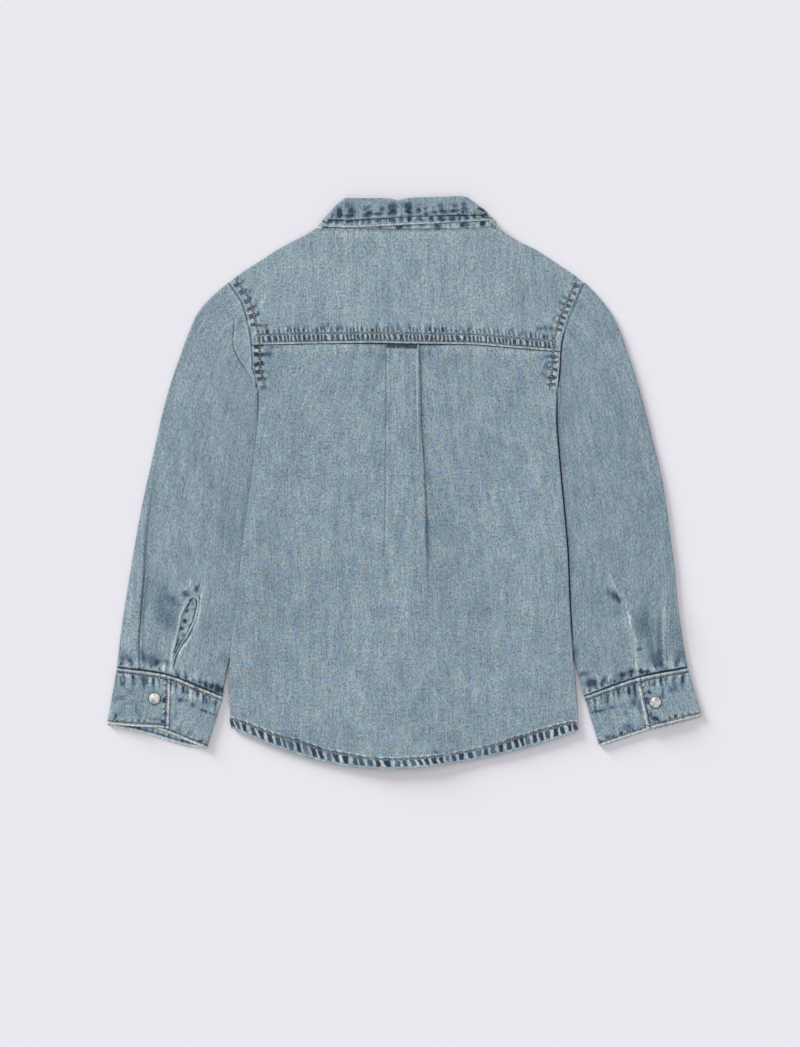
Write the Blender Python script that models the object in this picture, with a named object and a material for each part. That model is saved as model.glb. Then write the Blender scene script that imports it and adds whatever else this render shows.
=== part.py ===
"""A child's denim shirt, laid flat with its back up, as thin solid walls of cloth.

Sizes are in millimetres and become metres when a piece is made. X runs across the shirt,
Y from the hem to the collar, and Z up from the surface that the fronts lie on. Each piece is
worked out as a grid of points on the middle of its wall, which is then given its thickness.
"""
from collections import namedtuple

import bmesh
import bpy
import numpy as np

MM = 0.001
LEFT, RIGHT = "left", "right"
SIGN = {LEFT: -1.0, RIGHT: 1.0}

# Cloth and the layers that it makes
CLOTH = 1.1              # one wall of cloth
BAND = 1.3               # two walls pressed together, as in the collar and the cuffs
SEAM_GAP = 0.35          # between pieces that are sewn edge to edge
PAIR = 3.4               # two walls, one on the other, from floor to top
SLEEVE_LIFT = 3.9        # how far the body's sides are lifted by the sleeves under them
SLEEVE_TUCK = 12.0       # width of body that lies on a sleeve
WING_LIFT = 1.6          # how far the collar's fall lifts the fronts
CENTRE_RISE = 2.2        # how far the closed front lifts the back over it
BODY_PUFF = 0.8          # soft height of the back between its edges
SLEEVE_PUFF = 1.3
FOLD_TURN = 2.25         # length of cloth in one tight half turn of a fold

# Main places: heights up the shirt, and half widths where the outlines below meet
UNDERARM = 74.0          # where the sides begin
LOWEST = -228.0          # the hem at the middle of the back
NECK_HALF = 72.0
YOKE_HALF = 122.0
HEM_HALF = 138.0
CENTRE = (-0.555, 0.196) # middle of the laid-out shirt, which becomes the origin

# Front closure
PLACKET_HALF = 14.0
PLACKETS = {"placket_left": (1.7, 2.8), "placket_right": (3.1, 4.2)}   # lower and upper face
FRONT_SNAP_HEIGHTS = (135.0, 78.0, 21.0, -36.0, -93.0, -150.0)
COLLAR_SNAP_HEIGHT = 162.0
SNAP_RADIUS = 5.1
FRONT_HEM_SHORT = 3.0    # the fronts end this far inside the back's hem

# Outlines: the place across the shirt of its left and right edges at each height
Edge = namedtuple("Edge", "height left right")
SILHOUETTE = (           # from the neck over the shoulder and down the sleeve to the cuff
    Edge(204.0, -70.4, 73.6), Edge(199.2, -78.0, 81.0), Edge(192.8, -90.4, 92.0),
    Edge(186.4, -102.4, 105.0), Edge(180.0, -112.0, 115.0), Edge(173.6, -122.4, 124.6),
    Edge(167.2, -132.0, 134.2), Edge(160.0, -140.6, 142.8), Edge(154.4, -148.0, 149.0),
    Edge(148.0, -155.2, 155.0), Edge(135.2, -166.0, 164.8), Edge(122.4, -172.0, 171.2),
    Edge(109.6, -176.8, 176.0), Edge(84.0, -186.0, 184.6), Edge(58.4, -193.4, 192.0),
    Edge(32.8, -199.2, 198.4), Edge(7.2, -204.8, 204.6), Edge(-18.4, -210.4, 209.0),
    Edge(-44.0, -215.2, 212.4), Edge(-69.6, -219.4, 215.8), Edge(-95.2, -223.6, 218.0),
    Edge(-120.8, -227.4, 221.4), Edge(-148.0, -230.4, 226.0))
ARMHOLE = (
    Edge(160.0, -140.6, 142.8), Edge(145.0, -130.6, 136.0), Edge(129.0, -125.6, 129.4),
    Edge(111.0, -122.6, 125.0), Edge(90.0, -121.4, 123.4), Edge(74.0, -117.2, 121.6))
BODY_SIDES = (
    Edge(74.0, -117.2, 121.6), Edge(50.0, -117.6, 121.0), Edge(25.0, -120.4, 122.8),
    Edge(0.0, -123.3, 125.0), Edge(-27.0, -126.8, 127.6), Edge(-54.0, -130.4, 129.9),
    Edge(-90.0, -134.4, 131.4), Edge(-115.0, -137.4, 132.8), Edge(-140.0, -139.8, 134.6),
    Edge(-165.0, -140.8, 137.2), Edge(-187.0, -139.8, 138.4), Edge(-198.0, -138.6, 138.2))
SLEEVE_INNER = (         # the fold of the sleeve that lies beside and then under the body
    Edge(73.0, -117.8, 122.4), Edge(62.0, -118.7, 122.9), Edge(50.0, -119.1, 122.6),
    Edge(40.0, -116.8, 119.8), Edge(28.0, -113.0, 115.6), Edge(0.0, -115.4, 117.2),
    Edge(-27.0, -118.8, 119.8), Edge(-54.0, -122.4, 122.2), Edge(-90.0, -126.6, 124.6),
    Edge(-115.0, -131.0, 127.8), Edge(-137.0, -138.4, 133.4), Edge(-150.0, -142.2, 137.8),
    Edge(-171.0, -145.6, 143.2))

# Lines that run across the shirt
Point = namedtuple("Point", "across height")
YOKE_SEAM = (
    Point(-122.6, 110.4), Point(-68.8, 111.6), Point(-32.8, 112.0), Point(12.0, 111.2),
    Point(56.0, 110.7), Point(92.0, 107.7), Point(125.0, 105.0))
HEM = (
    Point(-138.6, -195.6), Point(-101.6, -211.2), Point(-62.4, -223.2), Point(-24.0, -228.0),
    Point(7.2, -227.4), Point(45.6, -222.6), Point(84.8, -214.6), Point(123.2, -203.4),
    Point(138.4, -198.0))
FRONT_YOKE_SEAM = {LEFT: (Point(-127.0, 133.0), Point(-64.0, 181.5)),
                   RIGHT: (Point(131.0, 133.0), Point(66.9, 181.5))}

# Pleats: where the folded edge lies, how far the cloth is turned over, in degrees, and how
# long its hidden layer is
Fold = namedtuple("Fold", "height edge turn hidden")
BACK_PLEAT = {
    LEFT: (Fold(111.0, -14.8, 180.0, 9.0), Fold(71.0, -13.8, 180.0, 5.0),
           Fold(50.0, -13.4, 140.0, 2.0), Fold(28.0, -13.2, 50.0, 0.8),
           Fold(0.0, -13.0, 12.0, 0.5), Fold(-40.0, -13.0, 2.0, 0.5),
           Fold(-228.0, -13.0, 2.0, 0.5)),
    RIGHT: (Fold(111.0, 11.0, 180.0, 9.0), Fold(71.0, 12.0, 180.0, 7.0),
            Fold(41.0, 12.8, 180.0, 6.0), Fold(18.0, 14.4, 180.0, 5.0),
            Fold(-30.0, 16.8, 165.0, 3.0), Fold(-55.0, 18.6, 90.0, 1.0),
            Fold(-75.0, 20.0, 40.0, 0.6), Fold(-110.0, 21.0, 14.0, 0.5),
            Fold(-150.0, 21.0, 4.0, 0.5), Fold(-228.0, 21.0, 2.0, 0.5))}
SLEEVE_PLEAT = {         # here the edge is measured inwards from the sleeve's outer fold
    LEFT: (Fold(160.0, 7.0, 2.0, 0.5), Fold(60.0, 7.0, 3.0, 0.5), Fold(10.0, 7.5, 20.0, 0.5),
           Fold(-40.0, 10.0, 60.0, 0.8), Fold(-90.0, 13.6, 140.0, 2.0),
           Fold(-115.0, 14.6, 180.0, 4.0), Fold(-148.0, 17.8, 180.0, 6.0)),
    RIGHT: (Fold(160.0, 9.0, 2.0, 0.5), Fold(-40.0, 9.0, 3.0, 0.5), Fold(-80.0, 9.5, 25.0, 0.6),
            Fold(-100.0, 10.6, 90.0, 1.0), Fold(-125.0, 13.6, 170.0, 3.0),
            Fold(-148.0, 16.4, 180.0, 6.0))}

# Sleeves: the heights that one ring of the sleeve joins, on its outer and its inner fold
Ring = namedtuple("Ring", "outer inner")
SLEEVE_RINGS = (
    Ring(160.0, 73.0), Ring(148.0, 66.0), Ring(135.0, 57.0), Ring(110.0, 40.0),
    Ring(84.0, 19.0), Ring(58.0, -2.0), Ring(33.0, -22.0), Ring(7.0, -42.0),
    Ring(-18.0, -62.0), Ring(-44.0, -82.0), Ring(-70.0, -103.0), Ring(-95.0, -124.0),
    Ring(-121.0, -147.0), Ring(-148.0, -171.0))
CUFF_SEAM_BOW = {LEFT: 5.1, RIGHT: 3.1}

# The open slit of the left sleeve, and the closed one of the right
Slit = namedtuple("Slit", "height inner_lip outer_lip")
SLITS = {
    LEFT: (Slit(-60.0, -171.0, -173.6), Slit(-89.0, -166.6, -169.6), Slit(-96.8, -165.6, -174.4),
           Slit(-102.4, -166.6, -177.6), Slit(-114.4, -170.4, -180.2),
           Slit(-121.6, -174.6, -181.4), Slit(-130.4, -180.0, -183.6),
           Slit(-138.0, -183.4, -186.0), Slit(-170.0, -187.0, -189.6)),
    RIGHT: (Slit(-60.0, 165.0, 167.6), Slit(-92.0, 172.2, 174.8), Slit(-126.0, 179.6, 182.2),
            Slit(-170.0, 184.0, 186.6))}
SLIT_OPEN = {LEFT: (-137.0, -91.0), RIGHT: None}
BINDING_WIDTH = 4.4
BINDING_OUTSET = 2.5     # from a lip of the slit to the middle of its binding

# Cuffs: the edges of the band from the sleeve's outer fold (0) to its inner fold (1)
Cuff = namedtuple("Cuff", "share seam over_hem under_hem far_hem")
CUFFS = {
    LEFT: (Cuff(0.0, (-230.4, -148.4), (-238.6, -192.3), (-238.6, -192.3), (-237.8, -193.6)),
           Cuff(0.25, (-209.0, -150.9), (-213.5, -194.2), (-213.0, -191.0), (-217.4, -197.8)),
           Cuff(0.5, (-187.0, -155.0), (-188.3, -196.0), (-193.0, -198.0), (-198.0, -203.0)),
           Cuff(0.75, (-166.0, -163.4), (-173.0, -203.0), (-175.6, -205.0), (-177.6, -209.0)),
           Cuff(1.0, (-145.6, -171.4), (-158.4, -212.0), (-158.4, -212.0), (-158.4, -212.0))),
    RIGHT: (Cuff(0.0, (226.2, -148.4), (237.6, -185.6), (237.6, -185.6), (236.4, -187.2)),
            Cuff(0.25, (205.6, -152.2), (214.6, -191.0), (214.6, -190.0), (214.0, -193.0)),
            Cuff(0.5, (184.6, -156.8), (192.8, -196.6), (194.0, -197.0), (192.8, -198.4)),
            Cuff(0.75, (164.0, -163.8), (174.0, -203.0), (174.4, -203.4), (173.4, -204.8)),
            Cuff(1.0, (143.2, -171.2), (155.2, -210.0), (155.2, -210.0), (155.2, -210.4)))}
OVERLAP_END = 0.49       # share of the cuff that the overlap covers
UNDERLAP_END = 0.26      # where the covered end stops
CUFF_LAYERS = {"far": 0.75, "under": 2.65, "over": 4.45}
CUFF_WALL = 1.5
CUFF_SNAPS = {LEFT: Point(-200.0, -172.0), RIGHT: Point(200.0, -175.2)}

# Collar
NECK_TOP = 204.0
NECK_BACK_DIP = 1.8      # the back neckline is this much lower in the middle
NECK_FRONT_DROP = 54.0
STAND_FOOT = Edge(202.8, -66.9, 69.9)      # where the neckband turns from back to front
STAND_HEAD = Edge(223.4, -46.8, 49.6)
STAND_FRONT_HEAD = 173.0
STAND_WALL = 1.2
STAND_LEVELS = {"back": 4.6, "front": 2.2, "lapped": 3.7}
STAND_LAP = 12.0         # each end of the neckband passes the centre front by this much
FALL_PITCH = 1.55        # from the middle of the neckband to the middle of the fall
FALL_START = 2.0         # each half of the fall starts this far from the centre front
ROLL_RISE = 1.9          # from the top of the neckband to the start of the roll
FALL_EDGE = (            # lower edge of the fall on the back
    Point(-70.4, 206.2), Point(-50.0, 205.2), Point(-20.0, 205.0), Point(10.0, 205.8),
    Point(40.0, 207.4), Point(73.6, 209.4))
ROLL_LINE = (            # top of the collar, where it rolls over
    Point(-48.0, 227.0), Point(-30.0, 227.6), Point(-12.0, 227.2), Point(-6.4, 225.9),
    Point(0.0, 227.2), Point(16.0, 228.4), Point(34.0, 229.4), Point(51.0, 229.2))
COLLAR_POINT = (36.0, 127.0)

# Main soft troughs: a line, how wide the trough is, and how deep in its middle
Crease = namedtuple("Crease", "start end width depth")
BACK_CREASES = (
    Crease((20.0, -62.0), (21.0, -150.0), 7.0, 0.9), Crease((70.0, -84.0), (92.0, -158.0), 8.0, 0.7),
    Crease((93.0, -80.0), (110.0, -150.0), 7.0, 0.5), Crease((-60.0, 60.0), (-74.0, -40.0), 10.0, 0.4))
SLEEVE_CREASES = {
    LEFT: (Crease((-174.0, 9.0), (-171.0, -88.0), 5.0, 0.7),
           Crease((-137.6, 120.0), (-122.0, 82.0), 3.5, 0.8)),
    RIGHT: (Crease((160.0, -60.0), (172.0, -92.0), 4.0, 0.8),
            Crease((196.0, 40.0), (188.0, -60.0), 8.0, 0.6))}


# ---------------------------------------------------------------- curves and levels

def smooth_curve(pairs):
    """A smooth function through (input, output) pairs, held level beyond both ends."""
    keys, values = np.array(sorted(pairs), float).T
    slopes = np.gradient(values, keys)

    def at(x):
        x = np.clip(x, keys[0], keys[-1])
        i = np.clip(np.searchsorted(keys, x) - 1, 0, len(keys) - 2)
        span = keys[i + 1] - keys[i]
        t = (x - keys[i]) / span
        rise = (1 - t) ** 2 * ((1 + 2 * t) * values[i] + t * span * slopes[i])
        return rise + t ** 2 * ((3 - 2 * t) * values[i + 1] + (t - 1) * span * slopes[i + 1])
    return at


def both_sides(table):
    return {side: smooth_curve([(row.height, getattr(row, side)) for row in table])
            for side in (LEFT, RIGHT)}


silhouette = both_sides(SILHOUETTE)
armhole = both_sides(ARMHOLE)
body_side = both_sides(BODY_SIDES)
sleeve_inner = both_sides(SLEEVE_INNER)
yoke_seam = smooth_curve(YOKE_SEAM)
hem = smooth_curve(HEM)
fall_edge = smooth_curve(FALL_EDGE)
roll_line = smooth_curve(ROLL_LINE)


def ramp(x):
    """0 below 0, 1 above 1, and smooth in between."""
    x = np.clip(x, 0.0, 1.0)
    return x * x * (3 - 2 * x)


def mix(a, b, share):
    return a + (b - a) * share


def troughs(x, y, creases):
    """How far soft creases lower the cloth at a place."""
    total = np.zeros(np.broadcast(x, y).shape)
    for crease in creases:
        start, end = np.array(crease.start), np.array(crease.end)
        run = end - start
        along = ((x - start[0]) * run[0] + (y - start[1]) * run[1]) / run.dot(run)
        near = np.clip(along, 0.0, 1.0)
        off = np.hypot(x - start[0] - near * run[0], y - start[1] - near * run[1])
        fade = ramp(near / 0.3) * ramp((1 - near) / 0.3)
        total += crease.depth * fade * np.exp(-(off / crease.width) ** 2)
    return total


def edge_distance(x, y):
    """Distance inwards from the nearer side edge of the body."""
    return np.minimum(x - body_side[LEFT](y), body_side[RIGHT](y) - x)


def over_sleeve(y):
    """1 where the body's sides lie on the sleeves, 0 beyond the armhole and the cuffs."""
    return ramp((UNDERARM - y) / 22.0) * ramp((y + 172.0) / 26.0)


def neck_lift(x, y):
    return WING_LIFT * ramp((y - 106.0) / 17.0) * (1 - ramp((abs(x) - 77.0) / 26.0))


def front_under(x, y):
    """Height of the fronts' underside."""
    past_sleeve = ramp((edge_distance(x, y) - SLEEVE_TUCK) / 14.0)
    lowest = PLACKETS["placket_left"][0]
    placket = np.where(x < 0, lowest, PLACKETS["placket_right"][0])
    placket = placket * (1 - ramp((abs(x) - PLACKET_HALF) / 34.0))
    return np.maximum(neck_lift(x, y), placket) + SLEEVE_LIFT * over_sleeve(y) * (1 - past_sleeve)


def back_top(x, y):
    """Height of the outer face of the back and of the yoke's back part."""
    past_sleeve = ramp((edge_distance(x, y) - SLEEVE_TUCK) / 30.0)
    centre = (1 - ramp((abs(x) - PLACKET_HALF) / 48.0)) * ramp((192.0 - y) / 34.0)
    inside = ramp((y + 222.0) / 40.0) * ramp((118.0 - abs(x)) / 40.0)
    inside = inside * ramp((196.0 - y - 0.3 * abs(x)) / 40.0)
    return (PAIR + neck_lift(x, y) + CENTRE_RISE * centre + BODY_PUFF * inside
            + SLEEVE_LIFT * over_sleeve(y) * (1 - past_sleeve) - troughs(x, y, BACK_CREASES))


def sleeve_top(side, x, y):
    """Height of the outer face of a sleeve's upper wall, without its pleat."""
    inwards = SIGN[side] * (x - sleeve_inner[side](y))
    outwards = SIGN[side] * (silhouette[side](y) - x)
    puff = ramp((inwards - 12.0) / 22.0) * ramp((outwards - 5.0) / 22.0)
    puff = puff * ramp((y + 150.0) / 36.0) * ramp((150.0 - y) / 50.0)
    return PAIR + SLEEVE_PUFF * puff - troughs(x, y, SLEEVE_CREASES[side])


# ---------------------------------------------------------------- folds and edges

def fold_table(rows):
    """Curves for the edge, turn (radians) and hidden length of a fold, by height."""
    edge = smooth_curve([(row.height, row.edge) for row in rows])
    turn = smooth_curve([(row.height, np.radians(row.turn)) for row in rows])
    hidden = smooth_curve([(row.height, row.hidden) for row in rows])
    return lambda y: (edge(y), np.maximum(turn(y), 0.02), hidden(y))


def fold_path(share, turn, hidden):
    """Cloth that rises through a fold: it turns back over itself and then forward again.

    share runs from 0 to 1 along the cloth; the result is the run and the rise.
    """
    s = share * (2 * FOLD_TURN + hidden)
    radius = FOLD_TURN / turn
    first = np.minimum(s, FOLD_TURN) / radius
    last = np.clip(s - FOLD_TURN - hidden, 0.0, FOLD_TURN) / radius
    flat = np.clip(s - FOLD_TURN, 0.0, hidden)
    run = radius * (np.sin(first) + np.sin(turn) - np.sin(turn - last)) + flat * np.cos(turn)
    rise = radius * (2 - np.cos(first) - np.cos(turn)) - radius * (1 - np.cos(turn - last))
    rise = rise + flat * np.sin(turn)
    return run, rise


def fold_start(edge, turn, hidden):
    """Where the cloth must start to rise for its folded edge to lie at the given place."""
    folded = ramp((turn - 1.2) / 1.6)
    return edge + (hidden + FOLD_TURN / np.pi) * folded


# ---------------------------------------------------------------- meshes

def make_object(name, points, faces):
    """A named object from points in millimetres, with all its faces pointing outwards."""
    shifted = [((x - CENTRE[0]) * MM, (y - CENTRE[1]) * MM, z * MM) for x, y, z in points]
    mesh = bpy.data.meshes.new(name)
    mesh.from_pydata(shifted, [], faces)
    work = bmesh.new()
    work.from_mesh(mesh)
    loose = [v for v in work.verts if not v.link_faces]
    bmesh.ops.delete(work, geom=loose, context="VERTS")
    bmesh.ops.recalc_face_normals(work, faces=work.faces)
    bmesh.ops.triangulate(work, faces=work.faces)
    if work.calc_volume(signed=True) < 0:
        bmesh.ops.reverse_faces(work, faces=work.faces)
    work.to_mesh(mesh)
    work.free()
    piece = bpy.data.objects.new(name, mesh)
    bpy.context.scene.collection.objects.link(piece)
    mesh.shade_smooth()
    mesh.set_sharp_from_angle(angle=np.radians(50))
    return piece


def wall_normals(grid, ring):
    """Unit normals of a grid of points; a ring joins its last column to its first."""
    if ring:
        across = np.roll(grid, -1, axis=1) - np.roll(grid, 1, axis=1)
    else:
        across = np.gradient(grid, axis=1, edge_order=2)
    normal = np.cross(across, np.gradient(grid, axis=0, edge_order=2))
    return normal / np.maximum(np.linalg.norm(normal, axis=2, keepdims=True), 1e-9)


def make_wall(name, grid, thickness, ring=False, keep=None):
    """A closed wall on both sides of a grid of points (rows, columns, xyz).

    keep says which cells of the grid are cloth; every free edge is closed.
    """
    rows, columns = grid.shape[:2]
    cells = columns if ring else columns - 1
    offset = wall_normals(grid, ring) * np.reshape(thickness, np.shape(thickness) + (1,)) / 2
    points = np.concatenate([(grid + offset).reshape(-1, 3), (grid - offset).reshape(-1, 3)])
    keep = np.ones((rows - 1, cells), bool) if keep is None else keep
    far = rows * columns
    faces, free = [], {}
    for r in range(rows - 1):
        for c in np.flatnonzero(keep[r]):
            d = (c + 1) % columns
            corners = (r * columns + c, r * columns + d, (r + 1) * columns + d, (r + 1) * columns + c)
            faces.append(corners)
            faces.append(tuple(far + k for k in reversed(corners)))
            for a, b in zip(corners, corners[1:] + corners[:1]):
                if (b, a) in free:
                    del free[b, a]
                else:
                    free[a, b] = True
    faces += [(b, a, a + far, b + far) for a, b in free]
    return make_object(name, points, faces)


def make_turned(name, centre, base, profile, segments=14):
    """A round cap: profile gives (radius, height over base) from its middle round to its foot."""
    angles = 2 * np.pi * np.arange(segments) / segments
    points = [(centre[0], centre[1], base + profile[0][1])]
    for radius, height in profile[1:-1]:
        points += [(centre[0] + radius * np.cos(a), centre[1] + radius * np.sin(a), base + height)
                   for a in angles]
    points.append((centre[0], centre[1], base + profile[-1][1]))
    rings = len(profile) - 2
    faces = []
    for k in range(segments):
        n = (k + 1) % segments
        faces.append((0, 1 + k, 1 + n))
        for r in range(rings - 1):
            a, b = 1 + r * segments, 1 + (r + 1) * segments
            faces.append((a + k, b + k, b + n, a + n))
        last = 1 + (rings - 1) * segments
        faces.append((last + k, len(points) - 1, last + n))
    return make_object(name, points, faces)


def set_material(piece, name, colour, roughness, metallic=0.0):
    material = bpy.data.materials.get(name) or bpy.data.materials.new(name)
    material.use_nodes = True
    shader = material.node_tree.nodes["Principled BSDF"]
    shader.inputs["Base Color"].default_value = (*colour, 1.0)
    shader.inputs["Roughness"].default_value = roughness
    shader.inputs["Metallic"].default_value = metallic
    piece.data.materials.append(material)


# ---------------------------------------------------------------- body

def side_turn(place, y, sign, low, high, closed, angles):
    """Columns of a wall that turns round the body's side.

    angles go from 0, flat at the top level, to a quarter turn, at the seam. closed is 1 where
    the side is a fold and 0 where it is an open armhole edge.
    """
    radius = (high - low - CLOTH) / 2
    middle = (high + low) / 2
    reach = (high - low) / 2
    flat_x = place - sign * reach * (1 - 2 * angles / np.pi) - sign * SEAM_GAP / 2
    bent_x = place - sign * reach + sign * radius * np.sin(angles)
    bent_z = middle + radius * np.cos(angles)
    return np.stack([mix(flat_x, bent_x, closed), y + 0 * flat_x,
                     mix(middle + radius, bent_z, closed)], axis=-1)


def body_edge(side, y):
    return np.where(y > UNDERARM, armhole[side](y), body_side[side](y))


def closed_side(y):
    return ramp((UNDERARM + 5.0 - y) / 8.0)


def side_heights(side, shares):
    """Heights down the body's side for shares of the back's length."""
    sign = SIGN[side]
    top = yoke_seam(sign * YOKE_HALF) - SEAM_GAP / 2
    return mix(top, hem(sign * HEM_HALF), np.asarray(shares))


TURN_STOP = np.pi / 2 - 0.22        # just short of the seam


def back_grid(rows, turn_count, panel_count, fold_count, strip_count):
    """The back from the left side over the box pleat to the right side."""
    share = np.asarray(rows)[:, None]
    centre_y = mix(yoke_seam(0.0), LOWEST, share)
    folds = {side: fold_table(BACK_PLEAT[side])(centre_y) for side in (LEFT, RIGHT)}
    sheets, strip_ends, lifts = {}, {}, {}
    for side in (LEFT, RIGHT):
        sign = SIGN[side]
        edge, turn, hidden = folds[side]
        side_y = side_heights(side, share)
        place = body_edge(side, side_y)
        start = -sign * fold_start(-sign * edge, turn, hidden)
        low, high = front_under(place, side_y), back_top(place, side_y)
        angles = np.linspace(TURN_STOP, 0.0, turn_count)[None, :]
        corner = side_turn(place, side_y, sign, low, high, closed_side(side_y), angles)
        panel_x = mix(corner[:, -1:, 0], start, np.linspace(0, 1, panel_count + 1)[None, 1:])
        run, rise = fold_path(np.linspace(0, 1, fold_count + 1)[None, 1:], turn, hidden)
        x = np.concatenate([panel_x, start - sign * run], axis=1)
        y = mix(yoke_seam(x) - SEAM_GAP / 2, hem(x), share)
        lift = np.concatenate([0 * panel_x, rise], axis=1)
        z = back_top(x, y) - CLOTH / 2 + lift
        sheets[side] = np.concatenate([corner, np.stack([x, y, z], axis=-1)], axis=1)
        strip_ends[side], lifts[side] = x[:, -1:], rise[:, -1:]
    t = np.linspace(0, 1, strip_count + 2)[None, 1:-1]
    x = mix(strip_ends[LEFT], strip_ends[RIGHT], t)
    y = mix(yoke_seam(x) - SEAM_GAP / 2, hem(x), share)
    z = back_top(x, y) - CLOTH / 2 + mix(lifts[LEFT], lifts[RIGHT], t)
    strip = np.stack([x, y, z], axis=-1)
    return np.concatenate([sheets[LEFT], strip, sheets[RIGHT][:, ::-1]], axis=1)


BACK_ROWS = (0.0, 0.03, 0.065, 0.1, 0.13, 0.165, 0.2, 0.25, 0.31, 0.37, 0.43, 0.49, 0.55, 0.61,
             0.68, 0.75, 0.81, 0.86, 0.91, 0.96, 1.0)


def make_back():
    return make_wall("back", back_grid(BACK_ROWS, 4, 7, 7, 2), CLOTH)


def front_neck(angle):
    """Front neckline by angle: 0 at the centre front, a quarter turn at each side of the neck."""
    half = np.where(angle < 0, -SILHOUETTE[0].left, SILHOUETTE[0].right)
    return half * np.sin(angle), NECK_TOP - NECK_FRONT_DROP * np.cos(angle)


def front_grid(side, shares, upper_rows, turn_count, panel_count):
    """One front from its hem to the front yoke seam, out to the side and the armhole.

    Its rows meet the side at the same heights as the back's rows.
    """
    sign = SIGN[side]
    upper = np.asarray(upper_rows)
    seam_out, seam_in = FRONT_YOKE_SEAM[side]
    inner_x = sign * (PLACKET_HALF + SEAM_GAP)
    hem_out = hem(sign * HEM_HALF) + FRONT_HEM_SHORT
    heights = side_heights(side, shares)
    heights = heights[(heights < UNDERARM - 2.0) & (heights > hem_out + 4.0)][::-1]
    rows = (np.concatenate([[hem_out], heights, [UNDERARM]]) - hem_out) / (UNDERARM - hem_out)
    hem_in = hem(inner_x) + FRONT_HEM_SHORT
    out_y = np.concatenate([mix(hem_out, UNDERARM, rows),
                            mix(UNDERARM, seam_out.height, upper)[1:]])
    place = body_edge(side, out_y)
    neck_foot = np.arcsin(abs(inner_x) / abs(getattr(SILHOUETTE[0], side)))
    neck_head = np.arcsin(min(abs(seam_in.across / getattr(SILHOUETTE[0], side)), 1.0))
    split = 0.42
    foot_y = front_neck(sign * neck_foot)[1]
    angle = sign * mix(neck_foot, neck_head, np.clip((upper - split) / (1 - split), 0, 1))
    neck_x, neck_y = front_neck(angle)
    straight = upper < split
    in_x = np.where(straight, inner_x, neck_x + 0 * upper)
    in_y = np.where(straight, mix(UNDERARM, foot_y, upper / split), neck_y - SEAM_GAP)
    in_x = np.concatenate([inner_x + 0 * rows, in_x[1:]])
    in_y = np.concatenate([mix(hem_in, UNDERARM, rows), in_y[1:]])
    place, out_y, in_x, in_y = (a[:, None] for a in (place, out_y, in_x, in_y))
    low, high = front_under(place, out_y), back_top(place, out_y)
    angles = np.linspace(TURN_STOP, 0.0, turn_count)[None, :]
    corner = side_turn(place, out_y, sign, low, high, closed_side(out_y), angles)
    corner[..., 2] = low + high - corner[..., 2]
    t = np.linspace(0, 1, panel_count + 1)[None, 1:]
    x = mix(corner[:, -1:, 0], in_x, t)
    y = mix(out_y, in_y, t)
    sag = (hem(x) + FRONT_HEM_SHORT - mix(hem_out, hem_in, t)) * (1 - ramp((y - LOWEST) / 120.0))
    panel = np.stack([x, y + sag, front_under(x, y) + CLOTH / 2], axis=-1)
    return np.concatenate([corner, panel], axis=1)


def make_front(side):
    grid = front_grid(side, BACK_ROWS, (0.0, 0.2, 0.42, 0.6, 0.8, 1.0), 4, 8)
    return make_wall(f"front_{side}", grid, CLOTH)


def make_placket(name):
    low, high = PLACKETS[name]
    x = np.linspace(-PLACKET_HALF, PLACKET_HALF, 5)[None, :]
    t = np.linspace(0, 1, 13)[:, None]
    top = NECK_TOP - NECK_FRONT_DROP * np.sqrt(1 - (x / NECK_HALF) ** 2) - SEAM_GAP
    y = mix(hem(x) + FRONT_HEM_SHORT, top, t)
    grid = np.stack([x + 0 * y, y, (low + high) / 2 + 0 * y], axis=-1)
    return make_wall(name, grid, high - low)


# ---------------------------------------------------------------- yoke

def neck_back(x):
    return NECK_TOP - NECK_BACK_DIP * (1 - (x / NECK_HALF) ** 2) - SEAM_GAP / 2


def pleat_cover(x, y):
    """Rise of the yoke's lower edge over the folded layers of the box pleat."""
    return 2.9 * (1 - ramp((abs(x + 2.0) - 15.0) / 34.0)) * ramp((158.0 - y) / 44.0)


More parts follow.
